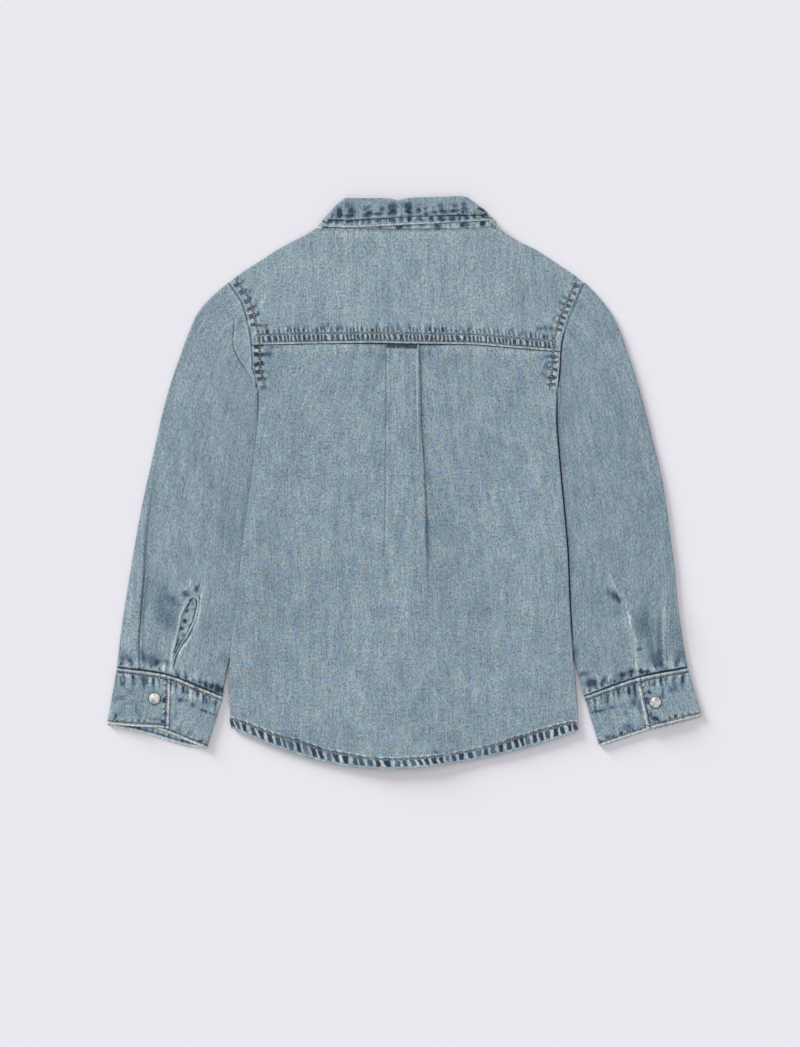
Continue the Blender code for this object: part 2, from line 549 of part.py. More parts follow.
def shoulder_grid(side, back_rows, turn_angles, front_rows, columns):
    """One shoulder of the yoke, from the back seam over the shoulder to the front seam."""
    sign = SIGN[side]
    t = np.asarray(columns)[None, :]
    neck = getattr(SILHOUETTE[0], side)
    rho = np.asarray(back_rows)[:, None]
    outline = smooth_curve([(abs(getattr(e, side)), e.height) for e in SILHOUETTE[:8]])
    top_x = mix(armhole[side](160.0) - sign * SEAM_GAP, neck, t)
    top_y = outline(abs(top_x))
    slope = np.gradient(top_y[0], top_x[0])[None, :]
    out = np.stack([-slope, 1 + 0 * slope], axis=-1)
    out = out / np.linalg.norm(out, axis=-1, keepdims=True)
    low, high = front_under(top_x, top_y), back_top(top_x, top_y)
    reach, radius = (high - low) / 2, (high - low - CLOTH) / 2
    pivot_x, pivot_y = top_x - out[..., 0] * reach, top_y - out[..., 1] * reach

    seam_y = yoke_seam(mix(sign * YOKE_HALF, neck, t)) + SEAM_GAP / 2
    y = mix(seam_y, pivot_y, rho)
    hole = armhole[side](mix(seam_y[0, 0], 160.0, rho)) - sign * SEAM_GAP
    x = mix(hole, pivot_x[0, -1], t)
    x = x + (pivot_x - mix(hole[-1, 0], pivot_x[0, -1], t)) * rho ** 3
    back = np.stack([x, y, back_top(x, y) - CLOTH / 2 + pleat_cover(x, y)], axis=-1)

    angle = np.asarray(turn_angles)[:, None]
    turn = np.stack([pivot_x + out[..., 0] * radius * np.cos(angle),
                     pivot_y + out[..., 1] * radius * np.cos(angle),
                     (low + high) / 2 + radius * np.sin(angle)], axis=-1)

    phi = np.asarray(front_rows)[:, None]
    seam_out, seam_in = FRONT_YOKE_SEAM[side]
    end_y = mix(seam_out.height, seam_in.height, t) + SEAM_GAP
    y = mix(pivot_y, end_y, phi)
    hole = armhole[side](mix(160.0, seam_out.height, phi)) - sign * SEAM_GAP
    neck_angle = np.arccos(np.clip((NECK_TOP - y[:, -1:]) / NECK_FRONT_DROP, 0, 1))
    neck_x = sign * abs(front_neck(sign * neck_angle)[0])
    x = mix(hole, mix(pivot_x[0, -1], neck_x, ramp(phi * 3)), t)
    x = x + (pivot_x - mix(hole[0, 0], pivot_x[0, -1], t)) * (1 - phi) ** 3
    front = np.stack([x, y, front_under(x, y) + CLOTH / 2], axis=-1)
    return np.concatenate([back, turn, front], axis=0)


YOKE_BACK_ROWS = np.linspace(0, 1, 8)
YOKE_TURNS = np.radians([45.0, 0.0, -45.0])
YOKE_FRONT_ROWS = np.linspace(0, 1, 4)


def yoke_grid(back_rows, turns, front_rows, shoulder_columns, neck_columns):
    left = shoulder_grid(LEFT, back_rows, turns, front_rows, shoulder_columns)
    right = shoulder_grid(RIGHT, back_rows, turns, front_rows, shoulder_columns)[:, ::-1]
    t = np.linspace(0, 1, neck_columns + 2)[None, 1:-1]
    rho = np.asarray(back_rows)[:, None]
    count = len(back_rows)
    x = mix(left[:count, -1:, 0], right[:count, :1, 0], t)
    top = mix(left[count - 1, -1, 1], right[count - 1, 0, 1], t) + neck_back(x) - neck_back(NECK_HALF)
    y = mix(yoke_seam(x) + SEAM_GAP / 2, top, rho)
    neck = np.stack([x, y, back_top(x, y) - CLOTH / 2 + pleat_cover(x, y)], axis=-1)
    rest = len(left) - count
    neck = np.concatenate([neck, np.repeat(neck[-1:], rest, axis=0)], axis=0)
    grid = np.concatenate([left, neck, right], axis=1)
    keep = np.ones((grid.shape[0] - 1, grid.shape[1] - 1), bool)
    first = left.shape[1] - 1
    keep[count - 1:, first:first + neck_columns + 1] = False
    return grid, keep


def make_yoke():
    grid, keep = yoke_grid(YOKE_BACK_ROWS, YOKE_TURNS, YOKE_FRONT_ROWS, np.linspace(0, 1, 7), 10)
    return make_wall("yoke", grid, CLOTH, keep=keep)


# ---------------------------------------------------------------- collar

def stand_level(side, x):
    """Height of the middle of the neckband in front; its right end laps over its left end."""
    if side == LEFT:
        return STAND_LEVELS["front"] + 0 * x
    lapped = 1 - ramp((x - PLACKET_HALF) / 25.0)
    return mix(STAND_LEVELS["front"], STAND_LEVELS["lapped"], lapped)


def collar_front(side, starts_at, count):
    """Columns in front, from the centre front round to the side of the neck."""
    sign = SIGN[side]
    foot_x, head_x = abs(getattr(STAND_FOOT, side)), abs(getattr(STAND_HEAD, side))
    angle = np.linspace(np.arcsin(starts_at / foot_x), np.pi / 2, count)
    foot_low = NECK_TOP - NECK_FRONT_DROP + SEAM_GAP
    neck = np.stack([sign * foot_x * np.sin(angle),
                     STAND_FOOT.height - (STAND_FOOT.height - foot_low) * np.cos(angle)], axis=-1)
    head = np.stack([sign * head_x * np.sin(angle),
                     STAND_HEAD.height - (STAND_HEAD.height - STAND_FRONT_HEAD) * np.cos(angle)],
                    axis=-1)
    share = (angle - angle[0]) / (np.pi / 2 - angle[0])
    tip = np.array([sign * COLLAR_POINT[0], COLLAR_POINT[1]])
    end = neck[-1] + np.array([-sign * 0.8, 0.9])
    bow = np.array([-sign * 9.0, -9.0])
    edge = mix(tip, end, share[:, None]) - bow * np.sin(np.pi * share)[:, None]
    out = np.tile([0.0, 0.0, -1.0], (count, 1))
    return neck, head, edge, out, np.full(count, ROLL_RISE)


def collar_turn(side, angles):
    """Columns round the side of the neck; angles run from the front (-90) to the back (90)."""
    foot = np.array([getattr(STAND_FOOT, side), STAND_FOOT.height])
    top = np.array([getattr(STAND_HEAD, side), STAND_HEAD.height])
    line = (top - foot) / np.linalg.norm(top - foot)
    normal = SIGN[side] * np.array([line[1], -line[0]]) * np.sign(line[1])
    radius = (STAND_LEVELS["back"] - STAND_LEVELS["front"]) / 2
    middle = (STAND_LEVELS["back"] + STAND_LEVELS["front"]) / 2
    shift = radius * np.cos(angles)[:, None] * normal
    out = np.concatenate([np.cos(angles)[:, None] * normal, np.sin(angles)[:, None]], axis=1)
    level = middle + radius * np.sin(angles)
    rise = np.full(len(angles), ROLL_RISE)
    return foot + shift, top + shift, foot + shift + 1.2 * line, out, rise, level


def collar_back(count):
    """Columns across the back of the neck, from left to right, without its two ends."""
    t = np.linspace(0, 1, count + 2)[1:-1]
    neck_x = mix(STAND_FOOT.left, STAND_FOOT.right, t)
    neck_y = STAND_FOOT.height - NECK_BACK_DIP * (1 - (2 * t - 1) ** 2)
    head_x = mix(STAND_HEAD.left, STAND_HEAD.right, t)
    head = np.stack([head_x, STAND_HEAD.height + 0 * t], axis=-1)
    edge = np.stack([mix(neck_x, head_x, 0.12), fall_edge(neck_x)], axis=-1)
    out = np.tile([0.0, 0.0, 1.0], (count, 1))
    rise = roll_line(head_x) - FALL_PITCH / 2 - BAND / 2 - STAND_HEAD.height
    return np.stack([neck_x, neck_y], axis=-1), head, edge, out, rise


def collar_columns(starts, front_count, turn_count, back_count):
    """All columns of the collar from its left front end round the back to its right one."""
    angles = np.linspace(-np.pi / 2, np.pi / 2, turn_count + 2)
    left = collar_front(LEFT, starts[0], front_count)
    right = [a[::-1] for a in collar_front(RIGHT, starts[1], front_count)]
    back = collar_back(back_count)
    turn_left = collar_turn(LEFT, angles[1:])
    turn_right = [a[::-1] for a in collar_turn(RIGHT, angles[1:])]
    plan = [np.concatenate(parts, axis=0)
            for parts in zip(left, turn_left[:5], back, turn_right[:5], right)]
    level = np.concatenate([stand_level(LEFT, left[0][:, 0]), turn_left[5],
                            np.full(back_count, STAND_LEVELS["back"]), turn_right[5],
                            stand_level(RIGHT, right[0][:, 0])])
    return plan + [level]


def stand_grid(rows, front_count, turn_count, back_count):
    starts = (-STAND_LAP, -STAND_LAP)
    neck, head, _, _, _, level = collar_columns(starts, front_count, turn_count, back_count)
    share = np.asarray(rows)[:, None]
    plan = mix(neck[None], head[None], share[..., None])
    return np.concatenate([plan, np.broadcast_to(level, plan.shape[:2])[..., None]], axis=2)


def fall_grid(roll_angles, leaf_rows, front_count, turn_count, back_count):
    """The fall: from the top of the neckband, over the roll and down outside the neckband."""
    starts = (FALL_START, FALL_START)
    columns = collar_columns(starts, front_count, turn_count, back_count)
    neck, head, edge, out, rise, level = columns
    up = (head - neck) / np.linalg.norm(head - neck, axis=1, keepdims=True)
    up = np.concatenate([up, np.zeros((len(up), 1))], axis=1)
    base = np.concatenate([head, level[:, None]], axis=1)
    lapped = np.maximum(level - STAND_LEVELS["front"], 0.0) * (out[:, 2] < -0.99)
    pitch = (FALL_PITCH + lapped)[:, None]
    rows = [base + up * SEAM_GAP * 1.5, base + up * rise[:, None]]
    for angle in roll_angles:
        rows.append(base + up * (rise[:, None] + pitch / 2 * np.cos(angle))
                    + out * pitch / 2 * (1 + np.sin(angle)))
    start = base + up * rise[:, None] + out * pitch
    free = np.concatenate([edge, level[:, None]], axis=1) + out * pitch
    rows += [mix(start, free, share) for share in leaf_rows]
    return np.stack(rows)


def make_collar():
    stand = make_wall("collar_stand", stand_grid((0.0, 0.5, 1.0), 9, 3, 9), STAND_WALL)
    fall = make_wall("collar_leaf", fall_grid(np.radians([-45, 0, 45]), (0.0, 0.33, 0.66, 1.0),
                                              9, 3, 15), BAND)
    return stand, fall


# ---------------------------------------------------------------- sleeves

def outline_pivot(curve, y, sign, reach):
    """Points at a distance inside an edge, and the edge's outward direction."""
    step = 2.0
    slope = (curve(y + step) - curve(y - step)) / (2 * step)
    out = sign * np.stack([1 + 0 * slope, -slope], axis=-1)
    out = out / np.linalg.norm(out, axis=-1, keepdims=True)
    return np.stack([curve(y), y], axis=-1) - out * reach, out


def sleeve_grid(side, rings, panel_inner, panel_outer, fold_count, strip_count, turns, under):
    """Rings of the sleeve from the armhole to the cuff, and where the slit's cell lies.

    A ring runs over the upper wall from the inner fold, past the slit and through the pleat to
    the outer fold, and back along the floor.
    """
    sign = SIGN[side]
    t = np.asarray(rings)
    stations = np.linspace(0, 1, len(SLEEVE_RINGS))
    outer_y = smooth_curve(list(zip(stations, [r.outer for r in SLEEVE_RINGS])))(t)
    inner_y = smooth_curve(list(zip(stations, [r.inner for r in SLEEVE_RINGS])))(t)
    reach = PAIR / 2
    outer, outer_out = outline_pivot(silhouette[side], outer_y, sign, reach)
    inner, inner_out = outline_pivot(sleeve_inner[side], inner_y, -sign, reach)
    length = np.linalg.norm(outer - inner, axis=1)[:, None]
    bow = (CUFF_SEAM_BOW[side] * ramp((t - 0.72) / 0.28))[:, None]
    seam_lift = (SEAM_GAP * ramp((t - 0.9) / 0.1))[:, None]
    near_armhole = (np.clip(1 - t / 0.42, 0, 1) ** 2)[:, None]
    head_shift = armhole[side](outer[0, 1]) + sign * SEAM_GAP - outer[0, 0]
    outer[:, 0] += head_shift * near_armhole[:, 0]

    def place(s):
        """Plan position at a share of the way from the inner to the outer fold."""
        s = np.broadcast_to(s, (len(t), np.shape(s)[-1]))
        x = mix(inner[:, :1], outer[:, :1], s)
        y = mix(inner[:, 1:], outer[:, 1:], s)
        first_y = mix(inner[0, 1], outer[0, 1], s)
        first_x = mix(inner[0, 0], outer[0, 0], s)
        bulge = armhole[side](first_y) + sign * SEAM_GAP - first_x
        x = x + bulge * ramp(s / 0.1) * near_armhole
        return x, y + bow * np.sin(np.pi * np.clip(s, 0, 1)) + seam_lift

    edge, turn, hidden = fold_table(SLEEVE_PLEAT[side])(outer_y[:, None])
    fold_from = fold_start(length - (edge - reach), turn, hidden)
    run, rise = fold_path(np.linspace(0, 1, fold_count + 1)[None, :], turn, hidden)
    fold_s = (fold_from + run) / length
    lips = []
    for lip in ("inner_lip", "outer_lip"):
        lip_x = smooth_curve([(row.height, getattr(row, lip)) for row in SLITS[side]])
        s = np.full((len(t), 1), 0.5)
        for _ in range(4):
            y = place(s)[1]
            s = (lip_x(y) - inner[:, :1]) / (outer[:, :1] - inner[:, :1])
        beyond = y[:, 0] > SLITS[side][0].height
        s[beyond] = s[~beyond][0]
        lips.append(s)
    share_a = np.linspace(0, 1, panel_inner + 1)[None, :]
    share_b = np.linspace(0, 1, panel_outer + 1)[None, :-1]
    strip = np.linspace(0, 1, strip_count + 1)[None, 1:]
    s_top = np.concatenate([lips[0] * share_a, mix(lips[1], fold_s[:, :1], share_b), fold_s,
                            mix(fold_s[:, -1:], 1.0, strip)], axis=1)
    lift = np.concatenate([np.zeros((len(t), panel_inner + 1 + panel_outer)), rise,
                           rise[:, -1:] * (1 - strip)], axis=1)
    x, y = place(s_top)
    top = np.stack([x, y, sleeve_top(side, x, y) - CLOTH / 2 + lift], axis=-1)

    radius = (PAIR - CLOTH) / 2
    angles = np.asarray(turns)[None, :]

    def round_edge(pivot, out, angles):
        flat = pivot[:, None, :] + out[:, None, :] * (radius * np.cos(angles))[..., None]
        flat = flat + np.stack([0 * seam_lift, seam_lift], axis=-1)
        height = PAIR / 2 + radius * np.sin(angles) + np.zeros((len(t), 1))
        return np.concatenate([flat, height[..., None]], axis=2)

    s_low = np.linspace(1, 0, under)[None, :]
    x, y = place(s_low)
    low = np.stack([x, y, CLOTH / 2 + 0 * x], axis=-1)
    ring = np.concatenate([top, round_edge(outer, outer_out, angles), low,
                           round_edge(inner, inner_out, angles[:, ::-1])], axis=1)
    return ring, panel_inner


SLEEVE_ROWS = np.array([0, 0.6, 1.3, 2.2, 3.2, 4.3, 5.4, 6.5, 7.6, 8.7, 9.6, 10.3, 10.75, 11.2,
                        11.65, 12.15, 12.6, 13.0]) / 13.0


def make_sleeve(side):
    grid, slit = sleeve_grid(side, SLEEVE_ROWS, 5, 2, 7, 2, np.radians([45.0, 0.0, -45.0]), 6)
    keep = np.ones((grid.shape[0] - 1, grid.shape[1]), bool)
    if SLIT_OPEN[side]:
        low, high = SLIT_OPEN[side]
        y = grid[:, slit:slit + 2, 1].mean(axis=1)
        middle = (y[1:] + y[:-1]) / 2
        keep[:, slit] = (middle < low) | (middle > high)
    return make_wall(f"sleeve_{side}", grid, CLOTH, ring=True, keep=keep)


def binding_path(side, count):
    """Middle line of the cloth that binds the slit: round an open slit, or along a closed one."""
    inner = smooth_curve([(row.height, row.inner_lip) for row in SLITS[side]])
    outer = smooth_curve([(row.height, row.outer_lip) for row in SLITS[side]])
    if not SLIT_OPEN[side]:
        y = np.linspace(-153.0, -92.0, count)
        return np.stack([(inner(y) + outer(y)) / 2, y], axis=-1)
    low, high = SLIT_OPEN[side]
    shift = SIGN[side] * BINDING_OUTSET
    y = np.linspace(low + 1.0, high - 3.0, count)
    up = np.stack([inner(y) - shift, y], axis=-1)
    down = np.stack([outer(y) + shift, y], axis=-1)[::-1]
    middle = (up[-1] + down[0]) / 2
    half = np.linalg.norm(up[-1] - down[0]) / 2
    angles = np.radians([30.0, 90.0, 150.0])
    apex = middle + half * np.stack([-SIGN[side] * np.cos(angles), 0.9 * np.sin(angles)], axis=-1)
    return np.concatenate([up, apex, down])


def make_binding(side):
    path = binding_path(side, 6)
    along = np.gradient(path, axis=0)
    along = along / np.linalg.norm(along, axis=1, keepdims=True)
    across = np.stack([along[:, 1], -along[:, 0]], axis=-1)
    offsets = np.array([-0.5, 0.0, 0.5]) * BINDING_WIDTH
    plan = path[:, None, :] + across[:, None, :] * offsets[None, :, None]
    level = sleeve_top(side, plan[..., 0], plan[..., 1]) + SEAM_GAP + CLOTH / 2
    grid = np.concatenate([plan, level[..., None]], axis=2)
    return make_wall(f"slit_binding_{side}", grid, CLOTH)


# ---------------------------------------------------------------- cuffs and snaps

def cuff_grid(side, rows, over_count, far_count, under_count, turns):
    """The cuff as one band: overlap, round the outer fold, far layer, inner fold, underlap."""
    table = CUFFS[side]

    def line(name):
        curves = [smooth_curve([(row.share, getattr(row, name)[k]) for row in table])
                  for k in (0, 1)]
        return lambda w: np.stack([curve(w) for curve in curves], axis=-1)

    seam = line("seam")
    width = np.linalg.norm(seam(1.0) - seam(0.0))
    far, under, over = (CUFF_LAYERS[name] for name in ("far", "under", "over"))
    radius, middle = (under - far) / 2, (under + far) / 2
    inset = (radius + CUFF_WALL / 2) / width
    angles = np.asarray(turns)
    stretches = []
    w = np.linspace(OVERLAP_END, inset, over_count)
    stretches.append((w, mix(under, over, ramp((w - 0.05) / 0.15)), line("over_hem")(w)))
    w = inset - radius * np.cos(angles) / width
    blend = (1 - np.sin(angles)[:, None]) / 2
    stretches.append((w, middle + radius * np.sin(angles),
                      mix(line("over_hem")(w), line("far_hem")(w), blend)))
    w = np.linspace(inset, 1 - inset, far_count)
    stretches.append((w, far + 0 * w, line("far_hem")(w)))
    w = 1 - inset + radius * np.cos(angles) / width
    blend = blend[::-1]
    stretches.append((w, middle - radius * np.sin(angles),
                      mix(line("far_hem")(w), line("under_hem")(w), 1 - blend)))
    w = np.linspace(1 - inset, UNDERLAP_END, under_count)
    stretches.append((w, under + 0 * w, line("under_hem")(w)))
    share = np.concatenate([s[0] for s in stretches])
    level = np.concatenate([s[1] for s in stretches])
    hem_line = np.concatenate([s[2] for s in stretches])
    within = np.clip(share, 0, 1)
    top = seam(within) + (share - within)[:, None] * (seam(1.0) - seam(0.0))
    plan = mix(top[None], hem_line[None], np.asarray(rows)[:, None, None])
    return np.concatenate([plan, np.broadcast_to(level, plan.shape[:2])[..., None]], axis=2)


def make_cuff(side):
    turns = np.radians([50.0, 0.0, -50.0])
    grid = cuff_grid(side, (0.0, 0.5, 1.0), 8, 9, 7, turns)
    return make_wall(f"cuff_{side}", grid, CUFF_WALL)


# Profiles of the snap caps: radius and height, from the middle over the rim to the foot
DOME = ((0.0, 2.3), (2.3, 2.1), (3.8, 1.5), (4.4, 0.9), (SNAP_RADIUS, 0.8), (SNAP_RADIUS, 0.0),
        (0.0, 0.0))
FLAT_CAP = ((0.0, 1.3), (4.9, 1.3), (SNAP_RADIUS, 1.1), (SNAP_RADIUS, 0.5), (4.4, 0.0),
            (0.0, 0.0))


def make_snaps():
    shown, plain = [], []
    for side in (LEFT, RIGHT):
        base = CUFF_LAYERS["over"] + CUFF_WALL / 2 + SEAM_GAP
        shown.append(make_turned(f"cuff_snap_{side}", CUFF_SNAPS[side], base, DOME))
    for k, height in enumerate(FRONT_SNAP_HEIGHTS):
        plain.append(make_turned(f"front_snap_{k + 1}", (0.0, height), 0.0, FLAT_CAP))
    plain.append(make_turned("collar_snap", (0.0, COLLAR_SNAP_HEIGHT), 0.0, FLAT_CAP))
    return shown, plain


# ---------------------------------------------------------------- the shirt

DENIM = (0.262, 0.337, 0.386)
DENIM_SEWN = (0.205, 0.275, 0.33)
PEARL = (0.62, 0.63, 0.63)


def main():
    for old in list(bpy.data.objects):
        bpy.data.objects.remove(old, do_unlink=True)
    panels = [make_back(), make_yoke(), make_front(LEFT), make_front(RIGHT),
              make_sleeve(LEFT), make_sleeve(RIGHT)]
    bands = [make_placket("placket_left"), make_placket("placket_right"), *make_collar(),
             make_cuff(LEFT), make_cuff(RIGHT), make_binding(LEFT), make_binding(RIGHT)]
    shown, plain = make_snaps()
    for piece in panels:
        set_material(piece, "washed denim", DENIM, 0.9)
    for piece in bands:
        set_material(piece, "sewn denim", DENIM_SEWN, 0.88)
    for piece in shown + plain:
        set_material(piece, "pearl cap", PEARL, 0.3)


main()
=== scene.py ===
# %% [markdown]
# # A child's denim shirt, laid flat with its back up
#
# The shirt lies face down on the XY plane with its collar towards +Y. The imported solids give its
# true size and place. Here every piece of cloth is made again as a thin shell on the same form,
# fine enough for the soft folds, the ridges of the seams and the puckers beside the stitching.
# A cut-and-sewn garment can be modelled by draping flat patterns, or by working out each piece
# as a grid of points from its own measurements. The second way is used, because the garment is
# pressed and laid out: its forms are few and known, and the grid keeps the cloth's own
# directions, which the weave and the wear follow.

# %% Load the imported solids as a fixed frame
import math
from collections import namedtuple

import bpy
import numpy as np
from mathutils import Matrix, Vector
from mathutils.bvhtree import BVHTree


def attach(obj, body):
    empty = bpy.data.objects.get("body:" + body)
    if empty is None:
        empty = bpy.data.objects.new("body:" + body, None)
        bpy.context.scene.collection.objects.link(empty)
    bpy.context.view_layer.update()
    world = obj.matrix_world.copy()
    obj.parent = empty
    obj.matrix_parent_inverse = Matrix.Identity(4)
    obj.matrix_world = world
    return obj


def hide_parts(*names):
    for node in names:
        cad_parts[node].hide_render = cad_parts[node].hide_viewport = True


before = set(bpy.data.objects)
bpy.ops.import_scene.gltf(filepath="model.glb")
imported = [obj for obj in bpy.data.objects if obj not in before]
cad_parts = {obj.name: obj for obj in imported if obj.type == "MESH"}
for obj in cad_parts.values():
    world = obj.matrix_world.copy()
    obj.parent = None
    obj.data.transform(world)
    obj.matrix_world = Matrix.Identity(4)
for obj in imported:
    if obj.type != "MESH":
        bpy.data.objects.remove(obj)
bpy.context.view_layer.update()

# %% [markdown]
# ## Measurements
#
# A pattern maker works from a few measurements and some curves. Sizes here are in millimetres,
# measured from a point near the middle of the laid-out shirt, and every piece is moved by
# CENTRE and becomes metres only when its mesh is made. Each table has a row for each place
# where an outline turns; a smooth curve runs through the rows.

# %% Measurements in millimetres
MM = 0.001
LEFT, RIGHT = "left", "right"
SIDES = (LEFT, RIGHT)
SIGN = {LEFT: -1.0, RIGHT: 1.0}

# Cloth and the layers that it makes
CLOTH = 1.1              # one wall of cloth
BAND = 1.3               # two walls pressed together, as in the collar and the cuffs
SEAM_GAP = 0.35          # between pieces that are sewn edge to edge
PAIR = 3.4               # two walls, one on the other, from floor to top
SLEEVE_LIFT = 3.9        # how far the body's sides are lifted by the sleeves under them
SLEEVE_TUCK = 12.0       # width of body that lies on a sleeve
WING_LIFT = 1.6          # how far the collar's fall lifts the fronts
CENTRE_RISE = 2.2        # how far the closed front lifts the back over it
BODY_PUFF = 0.8          # soft height of the back between its edges
SLEEVE_PUFF = 1.3
FOLD_TURN = 2.25         # length of cloth in one tight half turn of a fold

# Main places: heights up the shirt, and half widths where the outlines below meet
UNDERARM = 74.0          # where the sides begin
LOWEST = -228.0          # the hem at the middle of the back
NECK_HALF = 72.0
YOKE_HALF = 122.0
HEM_HALF = 138.0
CENTRE = (-0.555, 0.196) # middle of the laid-out shirt, which becomes the origin

# Front closure
PLACKET_HALF = 14.0
PLACKETS = {"placket_left": (1.7, 2.8), "placket_right": (3.1, 4.2)}   # lower and upper face
FRONT_SNAP_HEIGHTS = (135.0, 78.0, 21.0, -36.0, -93.0, -150.0)
COLLAR_SNAP_HEIGHT = 162.0
FRONT_HEM_SHORT = 3.0    # the fronts end this far inside the back's hem

# Outlines: the place across the shirt of its left and right edges at each height
Edge = namedtuple("Edge", "height left right")
SILHOUETTE = (           # from the neck over the shoulder and down the sleeve to the cuff
    Edge(204.0, -70.4, 73.6), Edge(199.2, -78.0, 81.0), Edge(192.8, -90.4, 92.0),
    Edge(186.4, -102.4, 105.0), Edge(180.0, -112.0, 115.0), Edge(173.6, -122.4, 124.6),
    Edge(167.2, -132.0, 134.2), Edge(160.0, -140.6, 142.8), Edge(154.4, -148.0, 149.0),
    Edge(148.0, -155.2, 155.0), Edge(135.2, -166.0, 164.8), Edge(122.4, -172.0, 171.2),
    Edge(109.6, -176.8, 176.0), Edge(84.0, -186.0, 184.6), Edge(58.4, -193.4, 192.0),
    Edge(32.8, -199.2, 198.4), Edge(7.2, -204.8, 204.6), Edge(-18.4, -210.4, 209.0),
    Edge(-44.0, -215.2, 212.4), Edge(-69.6, -219.4, 215.8), Edge(-95.2, -223.6, 218.0),
    Edge(-120.8, -227.4, 221.4), Edge(-148.0, -230.4, 226.0))
ARMHOLE = (
    Edge(160.0, -140.6, 142.8), Edge(145.0, -130.6, 136.0), Edge(129.0, -125.6, 129.4),
    Edge(111.0, -122.6, 125.0), Edge(90.0, -121.4, 123.4), Edge(74.0, -117.2, 121.6))
BODY_SIDES = (
    Edge(74.0, -117.2, 121.6), Edge(50.0, -117.6, 121.0), Edge(25.0, -120.4, 122.8),
    Edge(0.0, -123.3, 125.0), Edge(-27.0, -126.8, 127.6), Edge(-54.0, -130.4, 129.9),
    Edge(-90.0, -134.4, 131.4), Edge(-115.0, -137.4, 132.8), Edge(-140.0, -139.8, 134.6),
    Edge(-165.0, -140.8, 137.2), Edge(-187.0, -139.8, 138.4), Edge(-198.0, -138.6, 138.2))
SLEEVE_INNER = (         # the fold of the sleeve that lies beside and then under the body
    Edge(73.0, -117.8, 122.4), Edge(62.0, -118.7, 122.9), Edge(50.0, -119.1, 122.6),
    Edge(40.0, -116.8, 119.8), Edge(28.0, -113.0, 115.6), Edge(0.0, -115.4, 117.2),
    Edge(-27.0, -118.8, 119.8), Edge(-54.0, -122.4, 122.2), Edge(-90.0, -126.6, 124.6),
    Edge(-115.0, -131.0, 127.8), Edge(-137.0, -138.4, 133.4), Edge(-150.0, -142.2, 137.8),
    Edge(-171.0, -145.6, 143.2))

# Lines that run across the shirt
Point = namedtuple("Point", "across height")
YOKE_SEAM = (
    Point(-122.6, 110.4), Point(-68.8, 111.6), Point(-32.8, 112.0), Point(12.0, 111.2),
    Point(56.0, 110.7), Point(92.0, 107.7), Point(125.0, 105.0))
HEM = (
    Point(-138.6, -195.6), Point(-101.6, -211.2), Point(-62.4, -223.2), Point(-24.0, -228.0),
    Point(7.2, -227.4), Point(45.6, -222.6), Point(84.8, -214.6), Point(123.2, -203.4),
    Point(138.4, -198.0))
FRONT_YOKE_SEAM = {LEFT: (Point(-127.0, 133.0), Point(-64.0, 181.5)),
                   RIGHT: (Point(131.0, 133.0), Point(66.9, 181.5))}

# Pleats: where the folded edge lies, how far the cloth is turned over, in degrees, and how
# long its hidden layer is
Fold = namedtuple("Fold", "height edge turn hidden")
BACK_PLEAT = {
    LEFT: (Fold(111.0, -14.8, 180.0, 9.0), Fold(71.0, -13.8, 180.0, 5.0),
           Fold(50.0, -13.4, 140.0, 2.0), Fold(28.0, -13.2, 50.0, 0.8),
           Fold(0.0, -13.0, 12.0, 0.5), Fold(-40.0, -13.0, 2.0, 0.5),
           Fold(-228.0, -13.0, 2.0, 0.5)),
    RIGHT: (Fold(111.0, 11.0, 180.0, 9.0), Fold(71.0, 12.0, 180.0, 7.0),
            Fold(41.0, 12.8, 180.0, 6.0), Fold(18.0, 14.4, 180.0, 5.0),
            Fold(-30.0, 16.8, 165.0, 3.0), Fold(-55.0, 18.6, 90.0, 1.0),
            Fold(-75.0, 20.0, 40.0, 0.6), Fold(-110.0, 21.0, 14.0, 0.5),
            Fold(-150.0, 21.0, 4.0, 0.5), Fold(-228.0, 21.0, 2.0, 0.5))}
SLEEVE_PLEAT = {         # here the edge is measured inwards from the sleeve's outer fold
    LEFT: (Fold(160.0, 7.0, 2.0, 0.5), Fold(60.0, 7.0, 3.0, 0.5), Fold(10.0, 7.5, 20.0, 0.5),
           Fold(-40.0, 10.0, 60.0, 0.8), Fold(-90.0, 13.6, 140.0, 2.0),
           Fold(-115.0, 14.6, 180.0, 4.0), Fold(-148.0, 17.8, 180.0, 6.0)),
    RIGHT: (Fold(160.0, 9.0, 2.0, 0.5), Fold(-40.0, 9.0, 3.0, 0.5), Fold(-80.0, 9.5, 25.0, 0.6),
            Fold(-100.0, 10.6, 90.0, 1.0), Fold(-125.0, 13.6, 170.0, 3.0),
            Fold(-148.0, 16.4, 180.0, 6.0))}

# Sleeves: the heights that one ring of the sleeve joins, on its outer and its inner fold
Ring = namedtuple("Ring", "outer inner")
SLEEVE_RINGS = (
    Ring(160.0, 73.0), Ring(148.0, 66.0), Ring(135.0, 57.0), Ring(110.0, 40.0),
    Ring(84.0, 19.0), Ring(58.0, -2.0), Ring(33.0, -22.0), Ring(7.0, -42.0),
    Ring(-18.0, -62.0), Ring(-44.0, -82.0), Ring(-70.0, -103.0), Ring(-95.0, -124.0),
    Ring(-121.0, -147.0), Ring(-148.0, -171.0))
CUFF_SEAM_BOW = {LEFT: 5.1, RIGHT: 3.1}

